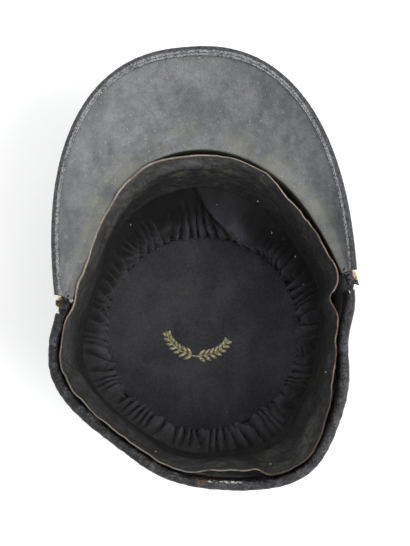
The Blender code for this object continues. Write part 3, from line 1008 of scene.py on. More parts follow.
@dataclass(frozen=True)
class RawEdge:
    """Undyed cut edge of leather, tan with darker and dusty stretches."""

    tan: Colour = (0.240, 0.176, 0.124)
    worn: Colour = (0.085, 0.052, 0.032)
    dusty: Colour = (0.215, 0.200, 0.172)
    dark: Colour = (0.035, 0.028, 0.023)
    pale: Colour = (0.400, 0.355, 0.290)

    def make(self) -> Finish:
        """Material of the raw edge."""
        paint = Palette("raw_leather_edge")
        sketch = paint.sketch
        along, _ = paint.along_down
        colour = sketch.blend(paint.patches(48.0, 0.42, 0.60), self.tan, self.dusty)
        colour = sketch.blend(paint.patches(95.0, 0.46, 0.58), colour, self.worn)
        colour = sketch.stain(colour, paint.window(along, 0.80, 0.17, 0.04), 0.65, self.pale)
        colour = sketch.stain(colour, paint.window(along, 0.11, 0.10, 0.04), 0.7, self.dusty)
        colour = sketch.stain(colour, paint.window(along, 0.355, 0.045, 0.03), 0.85, self.dark)
        fibres = sketch.noise(paint.place, 1500.0, 4.0, 0.8)
        colour = sketch.vary(colour, fibres, 0.32, 0.68, 0.55, 1.35)
        return paint.set(Base_Color=colour, Roughness=0.85, Normal=sketch.bump(fibres, 0.0004, 0.8))


@dataclass(frozen=True)
class Cloth:
    """Woven or milled cloth with lint, faded patches and a soft sheen."""

    name: str
    dark: Colour
    light: Colour
    threads: float
    relief: float = 0.00012
    nap: float = 0.0
    sheen: float = 0.2
    lint: float = 0.03
    patch_scale: float = 30.0
    # hollows: how strongly painted shade darkens the mesh's creases and painted light brightens its
    # heights, read from its tone
    hollows: float = 0.0
    mottle: float = 0.0
    rough: float = 0.88
    specular: float = 0.25
    fluff: Colour = (0.30, 0.30, 0.31)

    def make(self) -> Finish:
        """Material of the cloth."""
        paint = Palette(self.name)
        sketch = paint.sketch
        weave = paint.weave(self.threads)
        tone = sketch.math("ADD", sketch.times(paint.patches(self.patch_scale, 0.34, 0.68), 0.7),
                           sketch.times(sketch.noise(paint.place, 700.0, 2.0), 0.3), True)
        colour = sketch.blend(tone, self.dark, self.light)
        colour = sketch.vary(colour, weave, 0.2, 0.8, 0.72, 1.18)
        if self.mottle:
            fine = sketch.noise(paint.place, 620.0, 4.0, 0.8)
            colour = sketch.vary(colour, fine, 0.32, 0.68, 1.0 - self.mottle, 1.0 + self.mottle)
        # Painted shade in the creases and painted light on the heights, from the mesh's tone.
        if self.hollows:
            dark, light = 1.0 - self.hollows, 1.0 + self.hollows * 0.9
            colour = sketch.vary(colour, paint.tone, 0.12, 0.88, dark, light)
        colour = sketch.stain(colour, paint.specks(600.0, 0.16, self.lint), 0.5, self.fluff)
        height = weave
        if self.nap:
            fuzz = sketch.noise(paint.place, 1900.0, 5.0, 0.75, 0.8)
            height = sketch.math("ADD", sketch.times(weave, 1.0 - self.nap),
                                 sketch.times(fuzz, self.nap))
        return paint.set(Base_Color=colour, Roughness=self.rough, Sheen_Weight=self.sheen,
                         Sheen_Roughness=0.45, Specular_IOR_Level=self.specular,
                         Normal=sketch.bump(height, self.relief, 0.9))


@dataclass(frozen=True)
class StrapLeather:
    """Dark brown leather of the chin strap, darker in its edge creases."""

    dark: Colour = (0.026, 0.014, 0.009)
    light: Colour = (0.105, 0.058, 0.032)

    def make(self) -> Finish:
        """Material of the strap."""
        paint = Palette("strap_leather")
        sketch = paint.sketch
        _, down = paint.along_down
        flat = paint.window(down, 0.5, 0.24, 0.10)
        tone = sketch.times(flat, paint.patches(140.0, 0.30, 0.70))
        colour = sketch.blend(tone, self.dark, self.light)
        rough = sketch.step(paint.patches(90.0, 0.3, 0.7), 0.0, 1.0, 0.32, 0.50)
        normal = sketch.bump(paint.grain(1400.0, 1.0), 0.00018, 0.7)
        return paint.set(Base_Color=colour, Roughness=rough, Normal=normal)


@dataclass(frozen=True)
class Gilt:
    """Gilt brass, bright on its high places and tarnished brown in its hollows."""

    name: str = "gilt_brass"
    bright: Colour = (0.66, 0.56, 0.32)
    tarnish: Colour = (0.16, 0.10, 0.05)
    scale: float = 420.0

    def make(self) -> Finish:
        """Material of the gilt."""
        paint = Palette(self.name)
        sketch = paint.sketch
        dirt = paint.patches(self.scale, 0.44, 0.66)
        colour = sketch.blend(dirt, self.bright, self.tarnish)
        rough = sketch.step(dirt, 0.0, 1.0, 0.26, 0.52)
        metal = sketch.step(dirt, 0.0, 1.0, 1.0, 0.75)
        normal = sketch.bump(sketch.noise(paint.place, 1500.0, 4.0), 0.00010, 0.5)
        return paint.set(Base_Color=colour, Roughness=rough, Metallic=metal, Normal=normal)


@dataclass(frozen=True)
class LeafPrint:
    """Gilt print on the lining, rubbed thin in places."""

    gold: Colour = (0.78, 0.70, 0.42)
    rubbed: Colour = (0.22, 0.20, 0.12)

    def make(self) -> Finish:
        """Material of the print."""
        paint = Palette("gilt_print")
        sketch = paint.sketch
        wear = paint.patches(900.0, 0.44, 0.60)
        colour = sketch.blend(wear, self.gold, self.rubbed)
        metal = sketch.step(wear, 0.0, 1.0, 0.55, 0.1)
        return paint.set(Base_Color=colour, Roughness=0.45, Metallic=metal,
                         Normal=sketch.bump(paint.weave(1500.0), 0.00008, 0.6))


@dataclass(frozen=True)
class Thread:
    """Sewing thread or a strand of lint."""

    name: str
    dark: Colour
    light: Colour

    def make(self) -> Finish:
        """Material of the thread."""
        paint = Palette(self.name)
        sketch = paint.sketch
        colour = sketch.blend(paint.patches(300.0, 0.35, 0.65), self.dark, self.light)
        twist = sketch.noise(paint.place, 4200.0, 2.0)
        return paint.set(Base_Color=colour, Roughness=0.7, Normal=sketch.bump(twist, 0.00006, 0.6))


@dataclass
class CrownCloth:
    """The cap's wool: crown top, side and the band at the rim."""

    form: CapForm
    band_depth: float = 0.038
    seam_allowance: float = 0.006
    edge_round: float = 0.0006
    ripple: float = 0.0017
    groove: float = 0.0006
    groove_spread: float = 0.7
    back_seam: float = 90.0
    wall_share: float = 0.88
    stitch_down: float = 0.865
    stitch_row: float = 0.54
    stitch_pitch: float = 0.0030
    thread_half: float = 0.00020
    top_rings: int = 12
    top_steps: int = 144
    columns: int = 400
    side_rows: int = 44
    band_rows: int = 22

    def ripple_at(self, angle: float, share: float) -> float:
        """Soft hollows and bulges of the side below the band."""
        open_cloth = ease(0.34, 0.50, share) * ease(1.0, 0.90, share)
        broad = around(angle, 9.0, 2.2 * share, 3.0)
        fine = around(angle, 30.0, 5.0 * share, 8.0)
        slant = around(angle + 22.0 * share, 15.0, 1.1 * share, 12.0)
        return self.ripple * open_cloth * (1.5 * broad + 0.25 * fine + 0.9 * slant)

    def seam_at(self, angle: float) -> float:
        """Depth of the seam down the back."""
        return self.groove * bell(wrapped(angle - self.back_seam), self.groove_spread)

    def side_point(self, along: float, down: float) -> Vector:
        """Middle of the side's cloth, from the rim down and in over the crown top.

        Args:
            along: Share along the piece.
            down: Share down or across it.

        Returns:
            The point.
        """
        angle = 360.0 * along
        if down <= self.wall_share:
            share = down / self.wall_share
            place = self.form.station(angle)
            point = self.form.wall_point(angle, place.line.length * share, self.form.side_inset)
            relief = self.ripple_at(angle, share) - self.seam_at(angle) * ease(1.0, 0.9, share)
            return point + place.square * relief
        share = (down - self.wall_share) / (1.0 - self.wall_share)
        bend = math.radians(90.0 * min(share * 2.0, 1.0))
        inward = self.form.seam_turn * (1.0 - math.cos(bend))
        inward += (self.seam_allowance - self.form.seam_turn) * max(share * 2.0 - 1.0, 0.0)
        radius = self.form.crown_radius - self.form.side_inset - inward
        height = self.form.seam_height + self.form.seam_turn * (1.0 - math.sin(bend))
        turn = math.radians(angle)
        return Vector((radius * math.cos(turn), radius * math.sin(turn), height))

    def band_point(self, along: float, down: float) -> Vector:
        """Middle of the band's cloth, a little proud along its lower edge."""
        angle = 360.0 * along
        fold = 0.0005 * bell(down - 0.94, 0.035) - 0.00022 * bell(down - self.stitch_down, 0.02)
        point = self.form.wall_point(angle, self.band_depth * down, -self.form.side_inset)
        return point + self.form.station(angle).square * (fold - self.seam_at(angle) * 0.6)

    def stitches(self, finish: Finish) -> Piece:
        """Row of stitches along the band's lower edge."""
        def route(share: float) -> tuple[Vector, Vector]:
            """Point and outward normal at a share of the row."""
            square = self.form.station(360.0 * share).square
            return self.band_point(share, self.stitch_down) + square * (self.form.cloth / 2), square

        mesh = stitch_mesh("band_stitches", route, self.stitch_row, self.stitch_pitch, self.thread_half, 11)
        return add_piece("band_stitches", mesh, [finish], Slot.WOOL)

    def top_mesh(self, radius: float) -> bpy.types.Mesh:
        """Round crown top with a soft edge, lying on the ground."""
        thick = self.form.cloth
        spread = [radius * ring / self.top_rings for ring in range(self.top_rings)]
        face = [(reach, thick) for reach in spread]
        edge = [(radius - self.edge_round * (1 - math.sin(math.radians(lean))),
                 thick / 2 + thick / 2 * math.cos(math.radians(lean))) for lean in range(0, 181, 30)]
        back = [(reach, 0.0) for reach in reversed(spread)]
        return mesh_from(turned_form(face + edge + back, self.top_steps), "crown_top")

    def build(self) -> list[Piece]:
        """Make the wool pieces and dress them."""
        wool = Cloth("milled_wool", (0.0105, 0.0115, 0.0185), (0.0250, 0.0265, 0.0370), 900.0,
                     relief=0.00030, nap=0.75, sheen=0.35, lint=0.05, patch_scale=26.0).make()
        thread = Thread("navy_thread", (0.010, 0.011, 0.016), (0.035, 0.036, 0.045)).make()
        side_mesh = surface_mesh("crown_side", self.columns, self.side_rows, self.side_point, True)
        side = add_piece("crown_side_cloth", side_mesh, [wool], Slot.WOOL, ["crown_side"])
        give_wall(side, self.form.cloth)
        band_mesh = surface_mesh("band", self.columns, self.band_rows, self.band_point, True)
        band = add_piece("band_cloth", band_mesh, [wool], Slot.WOOL, ["band"])
        give_wall(band, self.form.cloth, 0.0003)
        radius = self.form.crown_radius + self.form.cloth / 2
        top = add_piece("crown_top_cloth", self.top_mesh(radius), [wool], Slot.WOOL, ["crown_top"])
        rim_length = sum((self.form.rim_point(angle + 1.0) - self.form.rim_point(angle)).length
                         for angle in range(360))
        depths = [self.form.station(angle).line.length for angle in range(0, 360, 10)]
        return [side, band, self.stitches(thread), top]


@dataclass
class RimBinding:
    """Leather strip folded over the rim, round the back from button to button."""

    form: CapForm
    outer_leg: float = 0.006
    inner_leg: float = 0.009
    lump: float = 0.00050
    crease: float = 0.00030
    stitch_down: float = 0.82
    outer_stitch_down: float = 0.10
    stitch_row: float = 0.335
    stitch_pitch: float = 0.0026
    thread_half: float = 0.00024
    crack_angle: float = 92.5
    crack_down: float = 0.545
    columns: int = 760
    rows: int = 40

    @property
    def strip(self) -> float:
        """Width of the leather strip laid flat."""
        return self.outer_leg + math.pi * self.form.binding_radius + self.inner_leg

    def angle_at(self, along: float) -> float:
        """Angle round the opening at a share of the strip."""
        return self.form.binding_start + (self.form.binding_end - self.form.binding_start) * along

    def relief(self, angle: float, down: float) -> float:
        """Lumps of the roll and creases across it."""
        soft = around(angle, 26.0, 2.0 * down, 5.0)
        tight = around(angle, 150.0, 3.0 * down, 9.0)
        press = 0.00035 * bell(down - self.stitch_down, 0.018)
        return self.lump * soft + self.crease * tight + 0.00016 * self.pebbles(angle, down) - press

    def pebbles(self, angle: float, down: float) -> float:
        """Coarse grain of the leather, from about -1 to 1."""
        return around(angle, 300.0, 11.0 * down, 2.0)

    def painted_shading_at(self, along: float, down: float) -> float:
        """Painted shade and light of the leather: dark in its creases and grain hollows, paler on the
        wearer's left.
        """
        angle = self.angle_at(along)
        tight = around(angle, 150.0, 3.0 * down, 9.0)
        side = 0.50 * (ease(30.0, 110.0, angle) - 0.5)
        return 0.5 + side + 0.9 * self.pebbles(angle, down) + 0.6 * tight

    def point(self, along: float, down: float) -> Vector:
        """Middle of the leather, share 0 at its outer edge and 1 at its inner edge."""
        angle = self.angle_at(along)
        radius = self.form.binding_radius + self.relief(angle, down)
        run = down * self.strip
        bend, leg = folded(run, self.strip, self.form.binding_radius, self.outer_leg, self.inner_leg)
        inset = -radius * math.cos(bend)
        return self.form.wall_point(angle, leg - radius * math.sin(bend), inset)

    def stitches(self, finish: Finish, down: float, name: str, seed: int) -> Piece:
        """Row of stitches through the strip.

        Args:
            finish: Material of the thread.
            down: Share across the strip.
            name: Name of the piece.
            seed: Seed of its unevenness.

        Returns:
            The piece.
        """
        side = 1.0 if down < 0.5 else -1.0

        def route(share: float) -> tuple[Vector, Vector]:
            """Point and outward normal at a share of the row."""
            normal = self.form.station(self.angle_at(share)).square * side
            return self.point(share, down) + normal * (self.form.binding_leather / 2 + 0.00006), normal

        mesh = stitch_mesh(name, route, self.stitch_row, self.stitch_pitch, self.thread_half, seed)
        return add_piece(name, mesh, [finish], Slot.BINDING)

    def build(self) -> list[Piece]:
        """Make the binding and its stitches and dress them."""
        start, end = self.form.binding_start, self.form.binding_end
        crack_share = (self.crack_angle - start) / (end - start)
        leather = BindingLeather("rim_leather", top_share=0.44, top_half=0.12, crack_along=crack_share,
                                 crack_down=self.crack_down, brown_share=0.8).make()
        thread = Thread("black_thread", (0.020, 0.018, 0.018), (0.085, 0.080, 0.076)).make()
        mesh = surface_mesh("rim_binding", self.columns, self.rows, self.point, tone=self.painted_shading_at)
        strip = add_piece("rim_binding_leather", mesh, [leather], Slot.BINDING, ["rim_binding"])
        give_wall(strip, self.form.binding_leather, 0.0003)
        return [strip, self.stitches(thread, self.stitch_down, "rim_stitches_inside", 21),
                self.stitches(thread, self.outer_stitch_down, "rim_stitches_outside", 22)]


@dataclass
class Peak:
    """Leather peak, its folded binding and the binding's two rows of stitches."""

    form: CapForm
    flange: float = 0.008
    flange_share: float = 0.16
    wave: float = 0.0006
    binding_width: float = 0.0031
    binding_thick: float = 0.0008
    binding_air: float = 0.00015
    stitch_rows: tuple[float, float] = (0.0006, 0.0022)
    stitch_pitch: float = 0.0021
    stitch_start: float = 0.012
    thread_half: float = 0.00033
    edge_length: float = 0.350
    columns: int = 200
    edge_columns: int = 560
    rows: int = 44

    @property
    def bend_radius(self) -> float:
        """Radius of the binding turned round the cut edge, at its leather's middle."""
        return self.form.peak_leather / 2 + self.binding_air + self.binding_thick / 2

    @property
    def strip(self) -> float:
        """Width of the binding laid flat."""
        return 2 * self.binding_width + math.pi * self.bend_radius

    def angle_at(self, along: float) -> float:
        """Angle round the opening at a share of the peak."""
        return self.form.peak_start + (self.form.peak_end - self.form.peak_start) * along

    def plate_point(self, along: float, down: float) -> Vector:
        """Middle of the leather, from the flange inside the rim out to the cut edge.

        Args:
            along: Share along the piece.
            down: Share down or across it.

        Returns:
            The point.
        """
        form = self.form
        angle = self.angle_at(along)
        if down < self.flange_share:
            arch = form.peak_leather / 2 + form.clearance
            turn = down / self.flange_share
            reach_in = form.flange_inset + form.root_inset(angle)
            section = ((0.0, reach_in, self.flange), (0.35, reach_in, self.flange * 0.5),
                       (0.58, reach_in, arch * 0.9), (0.68, reach_in * 0.95, -arch * 0.1),
                       (0.80, reach_in * 0.76, -arch * 0.75), (1.0, reach_in * 0.35, -arch * 1.30))
            for (low, inset, drop), (high, next_inset, next_drop) in zip(section, section[1:]):
                if turn <= high:
                    share = (turn - low) / (high - low)
                    return form.wall_point(angle, drop + (next_drop - drop) * share,
                                           inset + (next_inset - inset) * share)
        reach = (down - self.flange_share) / (1.0 - self.flange_share)
        point = form.peak_point(along, reach)
        swell = around(angle, 14.0, 2.4 * reach, 6.0) + 0.35 * around(angle, 40.0, 6.0 * reach, 1.0)
        return point + UP * (self.wave * swell * math.sin(math.pi * reach))

    def binding_point(self, along: float, down: float) -> Vector:
        """Middle of the binding's leather, from its edge above, round the cut edge, to its edge below.

        Args:
            along: Share along the piece.
            down: Share down or across it.

        Returns:
            The point.
        """
        form = self.form
        width = self.binding_width
        bend, leg = folded(down * self.strip, self.strip, self.bend_radius, width, width)
        length = (form.peak_edge_point(along) - form.peak_point(along, 0.0)).length
        reach = 1.0 - min(leg / length, 0.6)
        point, run_along, square = form.peak_frame(along, reach)
        away = run_along.cross(square).normalized()
        grain = around(360.0 * along, 200.0, 9.0 * down, 4.0)
        puff = 0.00014 + 0.00026 * self.roll_at(leg) + 0.00010 * grain
        return point + (square * math.cos(bend) + away * math.sin(bend)) * (self.bend_radius + puff)

    def roll_at(self, leg: float) -> float:
        """Height of the binding's two soft rolls, 0 in the grooves beside them."""
        return max(bell(leg - row, 0.00050) for row in self.stitch_rows)

    def painted_edge_shading(self, along: float, down: float) -> float:
        """Painted light and shade of the binding: painted highlight on the rolls, painted shade in the
        grooves and round the turned edge, with a little speckle.
        """
        strip = 2 * self.binding_width + math.pi * (self.form.peak_leather / 2 + self.binding_air)
        leg = max(self.binding_width - down * strip, 0.0)
        speckle = around(360.0 * along, 230.0, 9.0 * down, 14.0)
        return (1.15 * self.roll_at(leg) if leg > 0 else 0.2) + 0.15 * speckle

    def stitches(self, finish: Finish, row: float, name: str, seed: int) -> Piece:
        """Row of stitches on the binding.

        Args:
            finish: Material of the thread.
            row: Distance of the row from the bend.
            name: Name of the piece.
            seed: Seed of its unevenness.

        Returns:
            The piece.
        """
        down = (self.binding_width - row) / self.strip

        def route(share: float) -> tuple[Vector, Vector]:
            """Point and upward normal at a share of the row."""
            along = self.stitch_start + (1.0 - 2.0 * self.stitch_start) * share
            _, _, square = self.form.peak_frame(along, 0.98)
            return self.binding_point(along, down) + square * (self.binding_thick / 2 + 0.00010), square

        mesh = stitch_mesh(name, route, self.edge_length, self.stitch_pitch, self.thread_half, seed)
        return add_piece(name, mesh, [finish], Slot.BINDING)

    def build(self) -> list[Piece]:
        """Make the peak, its binding and the stitches and dress them."""
        leather = PeakLeather().make()
        plate = add_piece("peak_plate", surface_mesh("peak", self.columns, self.rows, self.plate_point),
                          [leather], Slot.PEAK, ["peak"])
        soften(plate)
        give_wall(plate, self.form.peak_leather)
        edge_leather = BindingLeather("peak_edge_leather", dark=(0.050, 0.050, 0.056),
                                      scuffed=(0.200, 0.202, 0.214), top_share=0.24, top_half=0.16,
                                      scuff_share=1.1, specular=0.5, patchy=(0.10, 0.45)).make()
        mesh = surface_mesh("peak_binding", self.edge_columns, self.rows, self.binding_point,
                            tone=self.painted_edge_shading)
        edge = add_piece("peak_binding_leather", mesh, [edge_leather], Slot.BINDING, ["peak_binding"])
        give_wall(edge, self.binding_thick, even=False)
        thread = Thread("grey_thread", (0.12, 0.12, 0.125), (0.50, 0.495, 0.49)).make()
        rows = [self.stitches(thread, row, f"peak_stitches_{index + 1}", 31 + index)
                for index, row in enumerate(self.stitch_rows)]
        return [plate, edge] + rows


@dataclass
class Sweatband:
    """Leather sweatband with its raw edge, crumpled and pulled off the wall in places."""

    form: CapForm
    leather: float = 0.0011
    depth: float = 0.040
    drop: float = 0.0008
    lean: float = 0.0035
    wave: float = 0.0007
    crumple: float = 0.0006
    spill_out: float = 0.0062
    spill_up: float = 0.0046
    spill_lean: float = 44.0
    kink: float = 0.0009
    lift: float = 0.0004
    spill_from: float = -84.0
    spill_to: float = -16.0
    short: float = 0.26
    short_angle: float = -98.0
    short_spread: float = 26.0
    columns: int = 540
    rows: int = 54

    @property
    def inset(self) -> float:
        """Distance from the seam line to the leather's middle at the raw edge."""
        return self.form.flange_inset + self.form.peak_leather / 2 + self.form.clearance + self.leather / 2

    def point(self, along: float, down: float) -> Vector:
        """Middle of the leather, share 0 at its raw edge and 1 at its lower edge.

        Args:
            along: Share along the piece.
            down: Share down or across it.

        Returns:
            The point.
        """
        angle = 360.0 * along
        inset = self.inset + self.lean * down
        inset += self.form.root_inset(angle) * ease(-120.0, -96.0, wrapped(angle)) * ease(0.60, 0.12, down)
        for fold in SWEAT_FOLDS:
            share = fold.top + (fold.foot - fold.top) * down
            inset += self.depth * share * bell(wrapped(angle - fold.angle), fold.spread)
        for dent in SWEAT_DENTS:
            inset += (dent.height * bell(wrapped(angle - dent.angle), dent.spread)
                      * bell(down - dent.share, dent.reach))
        rough = around(angle, 34.0, 5.0 * down, 7.0) + 0.5 * around(angle, 80.0, 12.0 * down, 3.0)
        inset += self.crumple * (max(rough, -0.5) + 0.25 * around(angle, 190.0, 26.0 * down, 5.0))
        kinks = around(angle, 44.0, 0.0, 31.0) + 0.6 * around(angle, 95.0, 0.0, 37.0)
        turn = math.radians(angle)
        wave = self.wave * (math.sin(5 * turn) + math.sin(8 * turn + 1.0)) * (1.0 - down)
        wave += 0.00055 * around(angle, 60.0, 0.0, 15.0) * ease(0.25, 0.0, down)
        spill = ease(self.spill_from - 16.0, self.spill_from + 10.0, wrapped(angle))
        spill *= ease(self.spill_to + 8.0, self.spill_to - 6.0, wrapped(angle))
        inset += self.kink * kinks * ease(0.22, 0.0, down) * (1.0 - spill)
        turn_out = spill * math.radians(self.spill_lean) * min(max(1.0 - down / 0.13, 0.0), 1.0)
        inset -= self.spill_out * (1.0 - math.cos(turn_out)) * spill
        wave -= self.spill_up * math.sin(turn_out) * spill
        wave -= self.lift * bell(wrapped(angle + 40.0), 13.0) * ease(0.15, 0.0, down)
        depth = self.depth * (1.0 - self.short * bell(wrapped(angle - self.short_angle), self.short_spread))
        return self.form.wall_point(angle, self.drop + wave + depth * down, inset)

    def build(self) -> list[Piece]:
        """Make the sweatband and dress it."""
        mesh = surface_mesh("sweatband", self.columns, self.rows, self.point, True)
        band = add_piece("sweatband_leather", mesh, [SweatLeather().make(), RawEdge().make()],
                         Slot.SWEATBAND, ["sweatband"])
        give_wall(band, self.leather * 0.8, rim=1)
        return [band]


@dataclass
class Lining:
    """Gathered lining skirt, the round tip that it is sewn to and the gilt leaf print on it."""

    form: CapForm
    cloth: float = 0.0010
    tip_radius: float = 0.0655
    tip_lift: float = 0.0030
    tip_crown: float = 0.0012
    top_drop: float = 0.031
    belly: float = 0.0045
    pleats: int = 74
    pleat_depth: float = 0.0012
    puff: float = 0.0050
    sag_angle: float = -112.0
    sag_spread: float = 15.0
    sag_depth: float = 0.0060
    flap: float = 0.0050
    top_rise: float = 0.009
    rise_angle: float = -98.0
    rise_spread: float = 26.0
    print_size: float = 1.15
    print_middle: tuple[float, float] = (0.0050, 0.0085)
    print_turn: float = 168.0
    print_lift: float = 0.00006
    print_thick: float = 0.00006
    stem_width: float = 0.00045
    leaf_pairs: int = 7
    leaf_length: float = 0.0052
    leaf_width: float = 0.00095
    leaf_lean: float = 0.72
    whip_stitches: int = 168
    top_girth: float = 0.56
    cut_depth: float = 0.075
    columns: int = 1000
    rows: int = 46
    tip_rings: int = 34
    tip_steps: int = 160

    @property
    def tip_height(self) -> float:
        """Height of the tip cloth's middle at its edge."""
        return self.form.seam_height + self.form.cloth / 2 + self.form.clearance + self.tip_lift

    def tip_rise(self, x: float, y: float) -> float:
        """Height of the tip over its edge: a low crown, soft waves and a crease towards the back."""
        reach = min(math.hypot(x, y) / self.tip_radius, 1.0)
        inner = 1.0 - reach * reach
        waves = 0.0007 * noise.noise(Vector((x * 34.0, y * 34.0, 4.0)))
        waves += 0.00022 * noise.noise(Vector((x * 110.0, y * 110.0, 9.0)))
        crease = 0.0022 * bell(x - 0.0072 + 0.06 * (y - 0.05), 0.0016) * ease(0.022, 0.045, y)
        dip = -0.0014 * bell(x + 0.0015, 0.004) * ease(0.026, 0.046, y)
        return self.tip_crown * inner + (waves + crease + dip) * ease(1.0, 0.93, reach)

    def pleat(self, angle: float, down: float) -> float:
        """Height from 0 in a crease to 1 on top of a puff."""
        phase = self.pleats * angle / 360.0 + 1.1 * around(angle, 26.0, 0.5 * down, 3.0)
        phase += 0.45 * around(angle, 70.0, 1.6 * down, 7.0)
        hill = abs(math.sin(math.pi * phase)) ** 1.1
        strength = 0.80 + 0.55 * around(angle, 60.0, 0.8 * down, 11.0)
        strength += 0.30 * around(angle, 24.0, 2.2 * down, 2.0)
        crumple = 0.22 * around(angle, 150.0, 10.0 * down, 19.0)
        return min(max(hill * min(max(strength, 0.45), 1.2) + crumple, -0.1), 1.25)

    def gather_from(self, angle: float) -> float:
        """Share down the skirt where its pleats start, lower at the front, where it lies open."""
        return 0.07 + 0.25 * bell(wrapped(angle + 82.0), 34.0)

    def flap_at(self, angle: float, down: float) -> float:
        """Share of the fold that sags over the front, its edge slanting down."""
        past = -90.0 - 26.0 * ease(0.10, 0.75, down) - wrapped(angle)
        across = ease(0.0, 2.2, past) * ease(46.0, 10.0, past)
        return across * ease(0.02, 0.22, down) * ease(0.76, 0.56, down)

    def painted_shading_at(self, along: float, down: float) -> float:
        """Painted shade of the skirt's cloth: dark in the creases, under the sweatband and at the tip's
        seam, with painted light and shade of folds on the sagging flap.
        """
        angle = 360.0 * along
        flap = self.flap_at(angle, down)
        folds = 0.42 + 0.9 * around(angle, 16.0, 3.0 * down, 23.0)
        open_cloth = 0.15 + 0.85 * ease(self.gather_from(angle) + 0.05, 0.72, down)
        open_cloth *= ease(1.0, 0.965, down)
        return max(self.pleat(angle, down), 0.0) * (1.0 - flap) * open_cloth + folds * flap

    def skirt_point(self, along: float, down: float) -> Vector:
        """Middle of the skirt's cloth, share 0 at its top and 1 at the tip's edge.

        Args:
            along: Share along the piece.
            down: Share down or across it.

        Returns:
            The point.
        """
        angle = 360.0 * along
        half_top = self.form.wall_half + self.form.clearance + self.cloth / 2 + self.pleat_depth / 2
        rise = self.top_rise * bell(wrapped(angle - self.rise_angle), self.rise_spread)
        top = self.form.wall_point(angle, self.top_drop - rise, half_top)
        turn = math.radians(angle)
        radius = self.tip_radius + self.form.clearance + self.cloth / 2
        foot = Vector((radius * math.cos(turn), radius * math.sin(turn), self.tip_height))
        belly = self.belly + self.sag_depth * bell(wrapped(angle - self.sag_angle), self.sag_spread)
        flap = self.flap_at(angle, down)
        inward = belly * math.sin(math.pi * down) ** 2 + self.flap * flap
        gathered = ease(self.gather_from(angle), 0.56, down) * (1.0 - 0.9 * flap)
        gathered *= 0.30 + 0.70 * ease(1.0, 0.93, down)
        inward += self.puff * self.pleat(angle, down) * gathered * ease(1.0, 0.985, down)
        middle = ease(0.0, 0.3, down) * ease(1.0, 0.9, down)
        inward += 0.0008 * around(angle, 60.0, 7.0 * down, 13.0) * middle
        inward += 0.0034 * flap * around(angle, 18.0, 3.5 * down, 27.0)
        lift = 0.0020 * self.pleat(angle, down) * ease(0.78, 0.93, down)
        return top + (foot - top) * down - self.form.station(angle).level * inward + UP * lift

    def seam_stitches(self, finish: Finish) -> Piece:
        """Whip stitches that gather the skirt on to the tip's edge.

        Args:
            finish: Material of the thread.

        Returns:
            The piece.
        """
        draw = random.Random(41)
        form = bmesh.new()
        for index in range(self.whip_stitches):
            turn = 2.0 * math.pi * (index + draw.uniform(-0.25, 0.25)) / self.whip_stitches
            radius = self.tip_radius - 0.0004 + draw.uniform(-0.0004, 0.0003)
            x, y = radius * math.cos(turn), radius * math.sin(turn)
            place = Vector((x, y, self.tip_height + self.cloth / 2 + self.tip_rise(x, y) + 0.0001))
            spin = Matrix.Rotation(turn + draw.uniform(-0.35, 0.35), 4, "Z")
            halves = (draw.uniform(0.0011, 0.0019), draw.uniform(0.0004, 0.0006), 0.00055)
            add_ball(form, place, spin, halves)
        return add_piece("tip_seam_stitches", mesh_from(form, "tip_seam_stitches"), [finish], Slot.SKIRT)

    def tip_mesh(self) -> bpy.types.Mesh:
        """Round cloth, its face and back waved alike."""
        radius = self.tip_radius
        half = self.cloth / 2
        spread = [radius * 0.985 * ring / self.tip_rings for ring in range(self.tip_rings + 1)]
        face = [(reach, half) for reach in spread]
        edge = [(radius, half * 0.55), (radius, -half * 0.55)]
        back = [(reach, -half) for reach in reversed(spread)]
        form = turned_form(face + edge + back, self.tip_steps)
        for vert in form.verts:
            vert.co.z += self.tip_height + self.tip_rise(vert.co.x, vert.co.y)
        return mesh_from(form, "lining_tip")

    def leaf_print(self) -> bpy.types.Mesh:
        """Two curved sprigs of pointed leaves that cross at their stems."""
        middle = Vector(self.print_middle)
        tilt = math.radians(self.print_turn)
        form = bmesh.new()

        def lay(point: Vector) -> Vector:
            """Point of the drawing laid on the tip."""
            x = middle.x + self.print_size * (point.x * math.cos(tilt) - point.y * math.sin(tilt))
            y = middle.y + self.print_size * (point.x * math.sin(tilt) + point.y * math.cos(tilt))
            return Vector((x, y, self.tip_height + self.cloth / 2 + self.tip_rise(x, y) + self.print_lift))

        def stem(share: float, side: float) -> Vector:
            """Point of one sprig's stem."""
            return Vector((side * (-0.0028 + 0.0215 * math.sin(1.35 * share)),
                           -0.0052 + 0.0125 * share * share, 0.0))

        for side in (-1.0, 1.0):
            ribbon = bmesh.ops.create_grid(form, x_segments=40, y_segments=1, size=0.5)
            for vert in ribbon["verts"]:
                share, across = vert.co.x + 0.5, vert.co.y * self.stem_width
                run = (stem(share + 0.02, side) - stem(share - 0.02, side)).normalized()
                vert.co = lay(stem(share, side) + Vector((-run.y, run.x, 0.0)) * across)
            for step in range(self.leaf_pairs):
                share = 0.16 + 0.12 * step
                run = stem(share + 0.02, side) - stem(share - 0.02, side)
                heading = math.atan2(run.y, run.x)
                for turn_out in (-1.0, 1.0):
                    length = self.leaf_length - 0.0003 * step
                    lean = heading + turn_out * self.leaf_lean
                    start = stem(share, side)
                    leaf = bmesh.ops.create_circle(form, cap_ends=True, segments=14, radius=1.0)
                    for vert in leaf["verts"]:
                        width = math.copysign(abs(vert.co.y) ** 1.5, vert.co.y) * self.leaf_width
                        reach = (vert.co.x + 1.12) * length / 2
                        offset = Vector((reach * math.cos(lean) - width * math.sin(lean),
                                         reach * math.sin(lean) + width * math.cos(lean), 0.0))
                        vert.co = lay(start + offset)
        bmesh.ops.recalc_face_normals(form, faces=form.faces)
        return mesh_from(form, "leaf_print")

